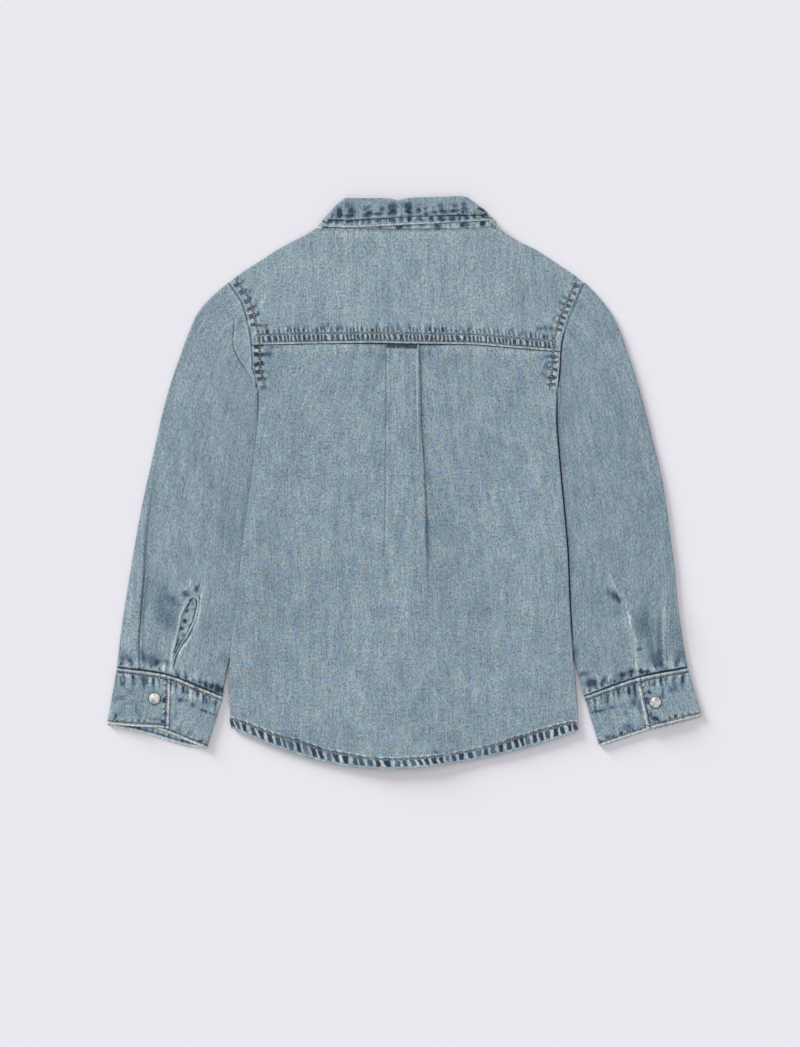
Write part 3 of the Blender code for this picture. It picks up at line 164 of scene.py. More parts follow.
# The open slit of the left sleeve, and the closed one of the right
Slit = namedtuple("Slit", "height inner_lip outer_lip")
SLITS = {
    LEFT: (Slit(-60.0, -171.0, -173.6), Slit(-89.0, -166.6, -169.6), Slit(-96.8, -165.6, -174.4),
           Slit(-102.4, -166.6, -177.6), Slit(-114.4, -170.4, -180.2),
           Slit(-121.6, -174.6, -181.4), Slit(-130.4, -180.0, -183.6),
           Slit(-138.0, -183.4, -186.0), Slit(-170.0, -187.0, -189.6)),
    RIGHT: (Slit(-60.0, 165.0, 167.6), Slit(-92.0, 172.2, 174.8), Slit(-126.0, 179.6, 182.2),
            Slit(-170.0, 184.0, 186.6))}
SLIT_OPEN = {LEFT: (-137.0, -91.0), RIGHT: None}
BINDING_OUTSET = 2.5     # from a lip of the slit to the middle of its binding

# Cuffs: the edges of the band from the sleeve's outer fold (0) to its inner fold (1)
Cuff = namedtuple("Cuff", "share seam over_hem under_hem far_hem")
CUFFS = {
    LEFT: (Cuff(0.0, (-230.4, -148.4), (-238.6, -192.3), (-238.6, -192.3), (-237.8, -193.6)),
           Cuff(0.25, (-209.0, -150.9), (-213.5, -194.2), (-213.0, -191.0), (-217.4, -197.8)),
           Cuff(0.5, (-187.0, -155.0), (-188.3, -196.0), (-193.0, -198.0), (-198.0, -203.0)),
           Cuff(0.75, (-166.0, -163.4), (-173.0, -203.0), (-175.6, -205.0), (-177.6, -209.0)),
           Cuff(1.0, (-145.6, -171.4), (-158.4, -212.0), (-158.4, -212.0), (-158.4, -212.0))),
    RIGHT: (Cuff(0.0, (226.2, -148.4), (237.6, -185.6), (237.6, -185.6), (236.4, -187.2)),
            Cuff(0.25, (205.6, -152.2), (214.6, -191.0), (214.6, -190.0), (214.0, -193.0)),
            Cuff(0.5, (184.6, -156.8), (192.8, -196.6), (194.0, -197.0), (192.8, -198.4)),
            Cuff(0.75, (164.0, -163.8), (174.0, -203.0), (174.4, -203.4), (173.4, -204.8)),
            Cuff(1.0, (143.2, -171.2), (155.2, -210.0), (155.2, -210.0), (155.2, -210.4)))}
OVERLAP_END = 0.49       # share of the cuff that the overlap covers
UNDERLAP_END = 0.26      # where the covered end stops
CUFF_LAYERS = {"far": 0.75, "under": 2.65, "over": 4.45}
CUFF_WALL = 1.5
CUFF_SNAPS = {LEFT: Point(-200.0, -172.0), RIGHT: Point(200.0, -175.2)}

# Collar
NECK_TOP = 204.0
NECK_BACK_DIP = 1.8      # the back neckline is this much lower in the middle
NECK_FRONT_DROP = 54.0
STAND_FOOT = Edge(202.8, -66.9, 69.9)      # where the neckband turns from back to front
STAND_HEAD = Edge(223.4, -46.8, 49.6)
STAND_FRONT_HEAD = 173.0
STAND_LEVELS = {"back": 4.6, "front": 2.2, "lapped": 3.7}
STAND_LAP = 12.0         # each end of the neckband passes the centre front by this much
FALL_PITCH = 1.55        # from the middle of the neckband to the middle of the fall
FALL_START = 2.0         # each half of the fall starts this far from the centre front
ROLL_RISE = 1.9          # from the top of the neckband to the start of the roll
FALL_EDGE = (            # lower edge of the fall on the back
    Point(-70.4, 206.2), Point(-50.0, 205.2), Point(-20.0, 205.0), Point(10.0, 205.8),
    Point(40.0, 207.4), Point(73.6, 209.4))
ROLL_LINE = (            # top of the collar, where it rolls over
    Point(-48.0, 227.0), Point(-30.0, 227.6), Point(-12.0, 227.2), Point(-6.4, 225.9),
    Point(0.0, 227.2), Point(16.0, 228.4), Point(34.0, 229.4), Point(51.0, 229.2))
COLLAR_POINT = (36.0, 127.0)

# Main soft troughs: a line, how wide the trough is, and how deep in its middle
Crease = namedtuple("Crease", "start end width depth")
BACK_CREASES = (
    Crease((20.0, -62.0), (21.0, -150.0), 7.0, 0.9),
    Crease((70.0, -84.0), (92.0, -158.0), 8.0, 0.7),
    Crease((93.0, -80.0), (110.0, -150.0), 7.0, 0.5),
    Crease((-60.0, 60.0), (-74.0, -40.0), 10.0, 0.4))
SLEEVE_CREASES = {
    LEFT: (Crease((-174.0, 9.0), (-171.0, -88.0), 5.0, 0.7),
           Crease((-137.6, 120.0), (-122.0, 82.0), 3.5, 0.8)),
    RIGHT: (Crease((160.0, -60.0), (172.0, -92.0), 4.0, 0.8),
            Crease((196.0, 40.0), (188.0, -60.0), 8.0, 0.6))}

# %% [markdown]
# ## Smooth curves and soft steps
#
# Two small tools do most of the shaping: a curve that passes smoothly through a table's rows,
# and a ramp that rises from 0 to 1 without a corner. A soft step is a ramp times a height.

# %% Curves through the tables
def smooth_curve(pairs):
    """A smooth function through (input, output) pairs, held level beyond both ends."""
    keys, values = np.array(sorted(pairs), float).T
    slopes = np.gradient(values, keys)

    def at(x):
        x = np.clip(x, keys[0], keys[-1])
        i = np.clip(np.searchsorted(keys, x) - 1, 0, len(keys) - 2)
        span = keys[i + 1] - keys[i]
        t = (x - keys[i]) / span
        rise = (1 - t) ** 2 * ((1 + 2 * t) * values[i] + t * span * slopes[i])
        return rise + t ** 2 * ((3 - 2 * t) * values[i + 1] + (t - 1) * span * slopes[i + 1])
    return at


def column(rows, name):
    """A smooth curve, by height, through one column of a table."""
    return smooth_curve([(row.height, getattr(row, name)) for row in rows])


def both_sides(table):
    return {side: column(table, side) for side in SIDES}


silhouette = both_sides(SILHOUETTE)
armhole = both_sides(ARMHOLE)
body_side = both_sides(BODY_SIDES)
sleeve_inner = both_sides(SLEEVE_INNER)
yoke_seam = smooth_curve(YOKE_SEAM)
hem = smooth_curve(HEM)
fall_edge = smooth_curve(FALL_EDGE)
roll_line = smooth_curve(ROLL_LINE)


def ramp(x):
    """0 below 0, 1 above 1, and smooth in between."""
    x = np.clip(x, 0.0, 1.0)
    return x * x * (3 - 2 * x)


def mix(a, b, share):
    return a + (b - a) * share


def slope_of(curve, y, step=2.0):
    return (curve(y + step) - curve(y - step)) / (2 * step)


def unit(vectors):
    """Vectors of length 1 in the same directions."""
    return vectors / np.maximum(np.linalg.norm(vectors, axis=-1, keepdims=True), 1e-9)


# %% [markdown]
# ## The levels of the cloth
#
# A laid-out shirt is a stack: the fronts on the floor, the plackets and the collar's fall under
# the back, the sleeves' inner edges under the sides. Each function below gives the height of
# one face of that stack at any place, so that pieces made apart still lie on each other.

# %% Heights of the fronts, the back and the sleeves
def troughs(x, y, creases):
    """How far soft creases lower the cloth at a place."""
    total = np.zeros(np.broadcast(x, y).shape)
    for crease in creases:
        start, end = np.array(crease.start), np.array(crease.end)
        run = end - start
        along = ((x - start[0]) * run[0] + (y - start[1]) * run[1]) / run.dot(run)
        near = np.clip(along, 0.0, 1.0)
        off = np.hypot(x - start[0] - near * run[0], y - start[1] - near * run[1])
        fade = ramp(near / 0.3) * ramp((1 - near) / 0.3)
        total += crease.depth * fade * np.exp(-(off / crease.width) ** 2)
    return total


def edge_distance(x, y):
    """Distance inwards from the nearer side edge of the body."""
    return np.minimum(x - body_side[LEFT](y), body_side[RIGHT](y) - x)


def over_sleeve(y):
    """1 where the body's sides lie on the sleeves, 0 beyond the armhole and the cuffs."""
    return ramp((UNDERARM - y) / 22.0) * ramp((y + 172.0) / 26.0)


def neck_lift(x, y):
    return WING_LIFT * ramp((y - 106.0) / 17.0) * (1 - ramp((abs(x) - 77.0) / 26.0))


def front_under(x, y):
    """Height of the fronts' underside."""
    past_sleeve = ramp((edge_distance(x, y) - SLEEVE_TUCK) / 14.0)
    lowest = PLACKETS["placket_left"][0]
    placket = np.where(x < 0, lowest, PLACKETS["placket_right"][0])
    placket = placket * (1 - ramp((abs(x) - PLACKET_HALF) / 34.0))
    return np.maximum(neck_lift(x, y), placket) + SLEEVE_LIFT * over_sleeve(y) * (1 - past_sleeve)


def back_top(x, y):
    """Height of the outer face of the back and of the yoke's back part."""
    past_sleeve = ramp((edge_distance(x, y) - SLEEVE_TUCK) / 30.0)
    centre = (1 - ramp((abs(x) - PLACKET_HALF) / 48.0)) * ramp((192.0 - y) / 34.0)
    inside = ramp((y + 222.0) / 40.0) * ramp((118.0 - abs(x)) / 40.0)
    inside = inside * ramp((196.0 - y - 0.3 * abs(x)) / 40.0)
    return (PAIR + neck_lift(x, y) + CENTRE_RISE * centre + BODY_PUFF * inside
            + SLEEVE_LIFT * over_sleeve(y) * (1 - past_sleeve) - troughs(x, y, BACK_CREASES))


def sleeve_top(side, x, y):
    """Height of the outer face of a sleeve's upper wall, without its pleat."""
    inwards = SIGN[side] * (x - sleeve_inner[side](y))
    outwards = SIGN[side] * (silhouette[side](y) - x)
    puff = ramp((inwards - 12.0) / 22.0) * ramp((outwards - 5.0) / 22.0)
    puff = puff * ramp((y + 150.0) / 36.0) * ramp((150.0 - y) / 50.0)
    return PAIR + SLEEVE_PUFF * puff - troughs(x, y, SLEEVE_CREASES[side])


# %% [markdown]
# ## Folds
#
# A pleat is cloth that turns back over itself and then forward again. In section that is an S
# made of two half turns with a flat layer between them. When the turn is less than half, the
# same path is only a soft step, so a pleat can open out along its length without a break.

# %% The path of a pleat
LEAST_TURN = 0.02        # in radians, so that a path always has a radius


def fold_table(rows):
    """Curves for the edge, turn (radians) and hidden length of a fold, by height."""
    edge, turn, hidden = (column(rows, name) for name in ("edge", "turn", "hidden"))
    return lambda y: (edge(y), np.maximum(np.radians(turn(y)), LEAST_TURN), hidden(y))


def fold_path(share, turn, hidden):
    """Cloth that rises through a fold: it turns back over itself and then forward again.

    share runs from 0 to 1 along the cloth; the result is the run and the rise.
    """
    s = share * (2 * FOLD_TURN + hidden)
    radius = FOLD_TURN / turn
    first = np.minimum(s, FOLD_TURN) / radius
    last = np.clip(s - FOLD_TURN - hidden, 0.0, FOLD_TURN) / radius
    flat = np.clip(s - FOLD_TURN, 0.0, hidden)
    run = radius * (np.sin(first) + np.sin(turn) - np.sin(turn - last)) + flat * np.cos(turn)
    rise = radius * (2 - np.cos(first) - np.cos(turn)) - radius * (1 - np.cos(turn - last))
    rise = rise + flat * np.sin(turn)
    return run, rise


def fold_start(edge, turn, hidden):
    """Where the cloth must start to rise for its folded edge to lie at the given place."""
    folded = ramp((turn - 1.2) / 1.6)
    return edge + (hidden + FOLD_TURN / np.pi) * folded


# %% [markdown]
# ## Making cloth from a grid of points
#
# A piece of cloth is a sheet: a grid of points in rows and columns on the middle of its wall.
# A Solidify modifier could thicken it, but then the cut edge stays square. Here the two faces
# and the edge are made together, and the edge gets one extra row that is pushed out, so every
# border looks folded or soft, never like cut card. The grid also gives each point its place in
# the cloth, counted along the threads, which becomes the UV map that the weave follows.

# %% The faces of a sheet and its free edges
WALL = 0.8               # cloth as it shows, thinner than the solid that stands for it


def wall_normals(grid, ring):
    """Unit normals of a grid of points; a ring joins its last column to its first."""
    if ring:
        across = np.roll(grid, -1, axis=1) - np.roll(grid, 1, axis=1)
    else:
        across = np.gradient(grid, axis=1, edge_order=2)
    return unit(np.cross(across, np.gradient(grid, axis=0, edge_order=2)))


def sheet_faces(rows, columns, keep):
    """Quads of a grid, and the directed edges that no second quad shares."""
    r, c = np.nonzero(keep)
    d = (c + 1) % columns
    quads = np.stack([r * columns + c, r * columns + d,
                      (r + 1) * columns + d, (r + 1) * columns + c], axis=1)
    starts, ends = quads.ravel(), np.roll(quads, -1, axis=1).ravel()
    size = rows * columns
    free = ~np.isin(starts * size + ends, ends * size + starts)
    return quads, starts[free], ends[free]


def along(grid, axis):
    """Length of cloth from the first point of each row or column, in millimetres."""
    step = np.linalg.norm(np.diff(grid, axis=axis), axis=2)
    return np.concatenate([np.zeros_like(np.take(step, [0], axis)), np.cumsum(step, axis)], axis)


# %% A closed shell with soft edges
SEAM_NAMES = ("seam_a", "seam_b", "seam_c", "seam_d")
pieces = {}
finishes = {}            # what the finish of each piece has to know: its wash and its seams


def add_piece(name, points, faces):
    """A node of the shirt from points in millimetres; it rides on the one body that there is."""
    mesh = bpy.data.meshes.new(name)
    mesh.from_pydata(((points - np.array([*CENTRE, 0.0])) * MM).tolist(), [], faces)
    mesh.shade_smooth()
    piece = bpy.data.objects.new(name, mesh)
    bpy.context.scene.collection.objects.link(piece)
    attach(piece, "root")
    pieces[name] = piece
    return piece


def make_cloth(name, grid, nodes, out=1, relief=0.0, wall=WALL, ring=False, keep=None,
               seams=(), stain=0.0, grain=(0.0, 0.0), wash=0.70, tint=0.8):
    """One piece of cloth; out is 1 where the grid's normals point out of the garment.

    relief lifts the outer face. seams tell the finish where each point is beside its seams, and
    the next argument says where the cloth is darker: darker dye in patches and bands, and painted
    shade inside the open slit. wash and tint are for the finish of the whole piece.
    """
    rows, columns = grid.shape[:2]
    cells = columns if ring else columns - 1
    keep = np.ones((rows - 1, cells), bool) if keep is None else keep
    normal = wall_normals(grid, ring)
    middle = grid + normal * (out * np.broadcast_to(relief, grid.shape[:2]))[..., None]
    normal = wall_normals(middle, ring).reshape(-1, 3)
    flat = middle.reshape(-1, 3)
    quads, starts, ends = sheet_faces(rows, columns, keep)
    edge = np.cross(flat[ends] - flat[starts], normal[starts])
    outward = np.zeros_like(flat)
    np.add.at(outward, starts, edge)
    np.add.at(outward, ends, edge)
    outward = unit(outward)
    size = len(flat)
    points = np.concatenate([flat + normal * wall / 2, flat - normal * wall / 2,
                             flat + outward * wall * 0.42])
    points[:size][starts] -= outward[starts] * wall * 0.12
    points[size:2 * size][starts] -= outward[starts] * wall * 0.12
    faces = np.concatenate([quads, quads[:, ::-1] + size,
                            np.stack([ends, starts, starts + 2 * size, ends + 2 * size], axis=1),
                            np.stack([ends + 2 * size, starts + 2 * size, starts + size,
                                      ends + size], axis=1)])
    used, faces = np.unique(faces, return_inverse=True)
    faces = faces.reshape(-1, 4)
    piece = add_piece(name, points[used], faces.tolist())
    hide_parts(*nodes)
    mesh, source = piece.data, used % size

    row_length = along(grid, 1)
    u = (row_length - row_length[:, columns // 2:columns // 2 + 1]).ravel()
    v = along(grid, 0).ravel()
    loops = source[faces]
    uv = np.stack([u[loops], v[loops]], axis=-1)
    if ring:
        wraps = np.ptp(loops % columns, axis=1) > columns // 2
        first = (loops % columns == 0) & wraps[:, None]
        lap = row_length[:, -1] + np.linalg.norm(grid[:, 0] - grid[:, -1], axis=1)
        uv[..., 0] += np.where(first, lap[loops // columns], 0.0)
    uv = uv * MM + np.array(grain)
    mesh.uv_layers.new(name="cloth").data.foreach_set("uv", uv.astype(np.float32).ravel())
    for key, beside in zip(SEAM_NAMES, seams):
        values = np.broadcast_to(beside.marks, (rows, columns, 3)).reshape(-1, 3)[source]
        layer = mesh.attributes.new(key, "FLOAT_VECTOR", "POINT")
        layer.data.foreach_set("vector", values.astype(np.float32).ravel())
    dye = np.broadcast_to(stain, (rows, columns)).ravel()[source]
    mesh.attributes.new("stain", "FLOAT", "POINT").data.foreach_set("value",
                                                                    dye.astype(np.float32))
    finishes[name] = (wash, tint, tuple(beside.kind for beside in seams))
    area = sum(p.area for p in mesh.polygons) / 2
    print(f"{name}: {2 * len(faces)} triangles, {area:.4f} square metres of cloth")


# %% [markdown]
# ## Where the seams are
#
# Washing marks a garment beside its seams. The thread holds the cloth short, so it puckers, and
# stones and water rub the tops of the puckers pale and leave the hollows dark. Each point of a
# piece is therefore told three things about a seam: which pucker it is on, counted along the
# seam; how far it is from the edge, where 1 is at the stitching and 2 is where the marks end;
# and how strong the marks are. The finish draws them from that, however coarse the grid is.

# %% Kinds of seam
# stitched and reach are millimetres from the edge to the stitching, and from there to where the
# marks end; pitch is the length of one pucker. The next numbers shape the marks: beat is how
# regular they are, broad and ragged how uneven, bias how much of the seam is dark, point how much
# a mark narrows towards the edge. inside and beyond say how dark the marks are on either side of
# the stitching, tail how fast they end, pale how pale it is between them, lip how pale (or, below
# 0, how dark) the very edge is; a dark lip is painted shade, where the edge lies under or beside
# another piece. rows are (share of stitched, how dark, half its width). Two kinds use the same
# means for painted light alone: a shadow line beside the body's edge, and shade with a highlight
# along creases.
Kind = namedtuple("Kind", "stitched reach pitch beat broad ragged bias point inside beyond tail "
                          "pale lip rows")
STITCHED = ((1.0, 0.42, 0.95),)
BARS = Kind(8.0, 9.0, 3.6, 0.50, 1.1, 0.7, 0.04, 0.0, 0.52, 0.38, 0.5, 0.20, 0.22,
            ((0.29, 0.42, 0.85), (1.0, 0.40, 0.85)))
ROPE = Kind(8.0, 4.0, 7.0, 0.80, 0.7, 0.6, 0.24, 0.36, 0.60, 0.20, 1.2, 0.28, 0.22,
            ((1.0, 0.46, 1.05), (1.40, -0.24, 0.8)))
ARMHOLE_MARKS = Kind(6.0, 6.5, 6.0, 0.60, 0.8, 0.7, -0.05, 0.0, 0.49, 0.44, 0.8, 0.18, 0.20,
                     ((1.0, 0.46, 1.3),))
COLLAR_MARKS = Kind(6.2, 9.0, 7.4, 0.20, 0.9, 0.8, -0.30, 0.0, 0.26, 0.24, 0.8, 0.20, 0.30,
                    STITCHED)
BAND_MARKS = Kind(1.5, 12.0, 9.0, 0.30, 1.2, 0.9, -0.4, 0.0, 0.1, 0.2, 0.4, 0.1, 0.05,
                  ((1.0, 0.40, 0.9),))
CUFF_TOP = Kind(2.4, 15.0, 5.2, 0.40, 1.3, 0.8, -0.02, 0.0, 0.1, 0.38, 0.5, 0.30, 0.25,
                ((1.0, 0.60, 0.95),))
CUFF_EDGE = Kind(2.6, 5.5, 5.0, 0.40, 1.3, 0.9, -0.10, 0.0, 0.2, 0.44, 0.8, 0.26, 0.38, STITCHED)
# Wash marks beyond the stitching, and a dark lip that is painted shadow where this piece meets the
# edge of the yoke or the neckband above it.
MARKS_AND_EDGE_SHADOW = Kind(1.0, 8.0, 4.1, 0.30, 1.4, 0.8, -0.36, 0.0, 0.0, 0.26, 1.0, 0.20, -0.66, ())
# Marks at the sleeve's head; its dark lip is painted shade where the sleeve passes under the
# body's edge.
SLEEVE_HEAD = Kind(2.2, 8.0, 4.1, 0.30, 1.4, 0.8, -0.36, 0.0, 0.0, 0.12, 1.0, 0.10, -0.22,
                   ((1.0, -0.16, 1.0),))
# Wash marks above the cuff; the dark lip is painted shadow where the sleeve meets the raised top
# edge of the cuff.
GATHERED = Kind(1.0, 13.0, 6.8, 0.45, 1.2, 0.9, -0.16, 0.0, 0.0, 0.40, 0.7, 0.34, -0.60, ())
# Painted shadow: a dark line on the very edge, beside the edge of another piece.
GAP_SHADOW = Kind(2.4, 3.0, 9.0, 0.0, 0.2, 0.2, -1.0, 0.0, 0.0, 0.0, 1.0, 0.0, -1.0, ())
FACING = Kind(1.6, 6.0, 8.4, 0.50, 0.9, 0.6, -0.2, 0.0, 0.3, 0.40, 0.3, 0.10, 0.0,
              ((1.0, 0.60, 0.75),))
# Painted shade on a crease, and a painted highlight on the fold beside it.
CREASE_SHADING = Kind(4.0, 4.0, 9.0, 0.0, 0.2, 0.2, -1.0, 0.0, 0.0, 0.0, 1.0, 0.0, 0.0,
              ((1.0, 0.34, 0.75), (1.42, -0.14, 0.9)))
Seam = namedtuple("Seam", "kind marks")

# %% Places along and across a seam
def uneven(place, pitch, seed):
    """Puckers counted along a seam, some wider and some narrower."""
    sway = 0.32 * np.sin(place / (2.3 * pitch) + seed)
    sway += 0.24 * np.sin(place / (1.1 * pitch) + 2.7 * seed)
    return place / pitch + sway + 7.0 * seed


def seam(kind, place, distance, strength=1.0, seed=0.0, lean=0.0, table=None):
    """Which pucker each point is on, how far from the edge, and how strong the marks are.

    A table gives the places of the puckers and how strong each one is; without it they come
    at the kind's pitch.
    """
    place = place + lean * distance
    if table is None:
        puckers = uneven(place, kind.pitch, seed)
    else:
        places, weights = np.array(table).T
        puckers = np.interp(place, places, np.arange(len(places)))
        strength = strength * np.interp(place, places, weights)
    across = np.where(distance < kind.stitched, distance / kind.stitched,
                      1 + (distance - kind.stitched) / kind.reach)
    strength = strength * (distance > -3.0)
    shape = np.broadcast(puckers, across, strength).shape
    marks = [np.broadcast_to(a, shape) for a in (puckers, across, strength)]
    return Seam(kind, np.stack(marks, axis=-1))


def allowance(beside, height):
    """The thickness that a turned-in edge adds between the fold and the stitching."""
    across, strength = beside.marks[..., 1], beside.marks[..., 2]
    return height * strength.clip(0, 1) * (1 - ramp((across - 1.0) / 0.12))


def ripples(beside, height, first=0.1, last=1.8):
    """Puckers of the cloth itself along a seam, strongest beside the stitching."""
    puckers, across, strength = (beside.marks[..., k] for k in range(3))
    near = ramp((across - first) / 0.3) * (1 - ramp((across - 1.0) / (last - 1.0)))
    return height * strength * near * np.cos(2 * np.pi * puckers)


# The middle of a patch, half its size across and down, the dye it adds, and how far it is turned,
# in degrees. The rows of a table are these numbers in this order.
Patch = namedtuple("Patch", "x y wide tall dye lean", defaults=(0,))


def patches(x, y, table, crisp=1.5, force=1.0):
    """How much darker (or, below 0, paler) the dye is, from a table of soft oval patches."""
    total = np.zeros(np.broadcast(x, y).shape)
    for patch in (Patch(*numbers) for numbers in table):
        turn = math.radians(patch.lean)
        across = (x - patch.x) * math.cos(turn) + (y - patch.y) * math.sin(turn)
        down = (y - patch.y) * math.cos(turn) - (x - patch.x) * math.sin(turn)
        near = (across / patch.wide) ** 2 + (down / patch.tall) ** 2
        total += patch.dye * np.exp(-near ** crisp)
    return total * force


def creases(x, y, table):
    """Painted shade and highlight along thin creases: a dark line and a pale one beside it.

    Each crease is points (x, y) down its length, and a strength; below 0 the two lines swap.
    """
    distance = np.full(np.broadcast(x, y).shape, 99.0)
    strength = np.zeros(distance.shape)
    for line, weight in table:
        heights = [point[1] for point in line]
        path = smooth_curve([(height, place) for place, height in line])
        slope = slope_of(path, y, 1.0)
        away = (x - path(y)) / np.sqrt(1 + slope ** 2)
        ends = ramp((max(heights) - y) / 4) * ramp((y - min(heights)) / 4)
        nearer = (abs(away) < abs(distance)) & (ends > 0)
        distance = np.where(nearer, away, distance)
        strength = np.where(nearer, weight * ends * (1 - ramp((abs(away) - 2.6) / 1.2)), strength)
    return seam(CREASE_SHADING, y, distance.clip(-3.9, 3.9) + CREASE_SHADING.stitched, strength)


def soft_waves(x, y, height, seed):
    """Low, wide unevenness of cloth that has been pressed by hand."""
    total = np.sin(x / 13.1 + 0.9 * np.sin(y / 41.0 + seed) + seed)
    total += 0.8 * np.sin(x / 7.7 - y / 63.0 + 1.7 * seed) * np.sin(y / 37.0 + 2.3 * seed)
    total += 0.6 * np.sin(y / 17.3 + x / 29.0 + 3.1 * seed)
    return height * total / 2.4


# %% [markdown]
# ## The back
#
# The back is one panel from side to side, with a box pleat in its middle that is caught in the
# yoke seam and opens out below. Its hem is turned up twice and stitched, and the turning twists
# a little as it is washed, which leaves the slanting ridges that denim hems have.

# %% The body's sides and the box pleat
def side_turn(place, y, sign, low, high, closed, angles):
    """Columns of a wall that turns round the body's side.

    angles go from 0, flat at the top level, to a quarter turn, at the seam. closed is 1 where
    the side is a fold and 0 where it is an open armhole edge.
    """
    radius = (high - low - CLOTH) / 2
    middle = (high + low) / 2
    reach = (high - low) / 2
    flat_x = place - sign * reach * (1 - 2 * angles / np.pi) - sign * SEAM_GAP / 2
    bent_x = place - sign * reach + sign * radius * np.sin(angles)
    bent_z = middle + radius * np.cos(angles)
    return np.stack([mix(flat_x, bent_x, closed), y + 0 * flat_x,
                     mix(middle + radius, bent_z, closed)], axis=-1)


def body_edge(side, y):
    return np.where(y > UNDERARM, armhole[side](y), body_side[side](y))


def closed_side(y):
    return ramp((UNDERARM + 5.0 - y) / 8.0)


def side_heights(side, shares):
    """Heights down the body's side for shares of the back's length."""
    sign = SIGN[side]
    top = yoke_seam(sign * YOKE_HALF) - SEAM_GAP / 2
    return mix(top, hem(sign * HEM_HALF), np.asarray(shares))


TURN_STOP = np.pi / 2 - 0.22        # just short of the seam
FOLD_ANGLES = np.radians(np.linspace(75, -75, 9))   # round a pressed fold


def back_grid(rows, turn_count, panel_count, fold_count, strip_count):
    """The back from the left side over the box pleat to the right side."""
    share = np.asarray(rows)[:, None]
    centre_y = mix(yoke_seam(0.0), LOWEST, share)
    folds = {side: fold_table(BACK_PLEAT[side])(centre_y) for side in SIDES}
    sheets, strip_ends, lifts = {}, {}, {}
    for side in SIDES:
        sign = SIGN[side]
        edge, turn, hidden = folds[side]
        side_y = side_heights(side, share)
        place = body_edge(side, side_y)
        start = -sign * fold_start(-sign * edge, turn, hidden)
        low, high = front_under(place, side_y), back_top(place, side_y)
        angles = np.linspace(TURN_STOP, 0.0, turn_count)[None, :]
        corner = side_turn(place, side_y, sign, low, high, closed_side(side_y), angles)
        panel_x = mix(corner[:, -1:, 0], start, np.linspace(0, 1, panel_count + 1)[None, 1:])
        run, rise = fold_path(np.linspace(0, 1, fold_count + 1)[None, 1:], turn, hidden)
        x = np.concatenate([panel_x, start - sign * run], axis=1)
        y = mix(yoke_seam(x) - SEAM_GAP / 2, hem(x), share)
        lift = np.concatenate([0 * panel_x, rise], axis=1)
        z = back_top(x, y) - CLOTH / 2 + lift
        sheets[side] = np.concatenate([corner, np.stack([x, y, z], axis=-1)], axis=1)
        strip_ends[side], lifts[side] = x[:, -1:], rise[:, -1:]
    t = np.linspace(0, 1, strip_count + 2)[None, 1:-1]
    x = mix(strip_ends[LEFT], strip_ends[RIGHT], t)
    y = mix(yoke_seam(x) - SEAM_GAP / 2, hem(x), share)
    z = back_top(x, y) - CLOTH / 2 + mix(lifts[LEFT], lifts[RIGHT], t)
    strip = np.stack([x, y, z], axis=-1)
    return np.concatenate([sheets[LEFT], strip, sheets[RIGHT][:, ::-1]], axis=1)


# %% The back panel
def graded(stretches):
    """Shares from 0 to 1 in stretches of (end, count), so that rows can be closer in places."""
    ends, parts = 0.0, [np.array([0.0])]
    for end, count in stretches:
        parts.append(np.linspace(ends, end, count + 1)[1:])
        ends = end
    return np.concatenate(parts)


ARMHOLE_PUCKERS = {      # the height of each pucker along the seam, and how strong it is
    LEFT: (
        (74.4, 0.9), (82, 0.9), (88, 1), (94.8, 0.9), (102.8, 1.1), (108.4, 0.9), (116, 0.1),
        (121.2, 0.1), (125.6, 1), (131.6, 1.05), (138, 0.85), (144.4, 0.85), (149.2, 0.85),
        (156.8, 0.9), (163.2, 0.5)),
    RIGHT: (
        (74, 0.9), (78, 0.95), (83.6, 1.1), (90.8, 1), (96.4, 0.9), (100.4, 1), (109.6, 0.15),
        (116, 0.15), (121.6, 0.95), (125.6, 1), (130.8, 1), (136, 0.7), (139.2, 0.95),
        (144.8, 0.75), (150, 0.8), (156, 0.8), (162.4, 0.4))}


def armhole_seam(x, y):
    """Marks beside whichever armhole is nearer."""
    found = {}
    for side in SIDES:
        curve = armhole[side]
        slope = slope_of(curve, y)
        gap = x - curve(y)
        found[side] = seam(ARMHOLE_MARKS, y + gap * slope / (1 + slope ** 2),
                           -SIGN[side] * gap / np.sqrt(1 + slope ** 2), ramp((y - 73) / 5),
                           table=ARMHOLE_PUCKERS[side]).marks
    nearer = (x < 0)[..., None] & np.ones(3, bool)
    return Seam(ARMHOLE_MARKS, np.where(nearer, found[LEFT], found[RIGHT]))


# The hem is turned up more in some places than in others, and its puckers lean. Rows are the
# place of each pucker and its strength, and places with the depth of the turning.
HEM_PUCKERS = (
    (-140.8, 0.6), (-136.4, 1), (-132.2, 0.8), (-126.4, 1), (-120, 0.8), (-112.8, 1), (-106, 0.95),
    (-98.8, 0.7), (-94.8, 0.6), (-90.4, 0.45), (-83.2, 1.1), (-76.8, 0.25), (-72, 1), (-65.2, 1),
    (-59.2, 0.35), (-53.6, 1), (-45.6, 1.05), (-37.2, 0.6), (-33.6, 0.9), (-26, 0.65), (-20.4, 1),
    (-12, 1.15), (-4.4, 0.6), (1.2, 0.85), (8, 0.75), (13.2, 0.95), (18.4, 0.95), (24.4, 1),
    (30.4, 1), (36, 0.35), (39.6, 0.8), (46.4, 1), (54, 0.9), (60.4, 0.5), (65.6, 0.85),
    (72.4, 0.5), (78, 1), (84.4, 0.8), (90, 1), (94.8, 1), (98.8, 0.35), (104.4, 1), (110, 0.9),
    (114.8, 0.8), (121.6, 1.1), (127.2, 0.95), (132.8, 0.95), (136.8, 1), (141.6, 0.6))
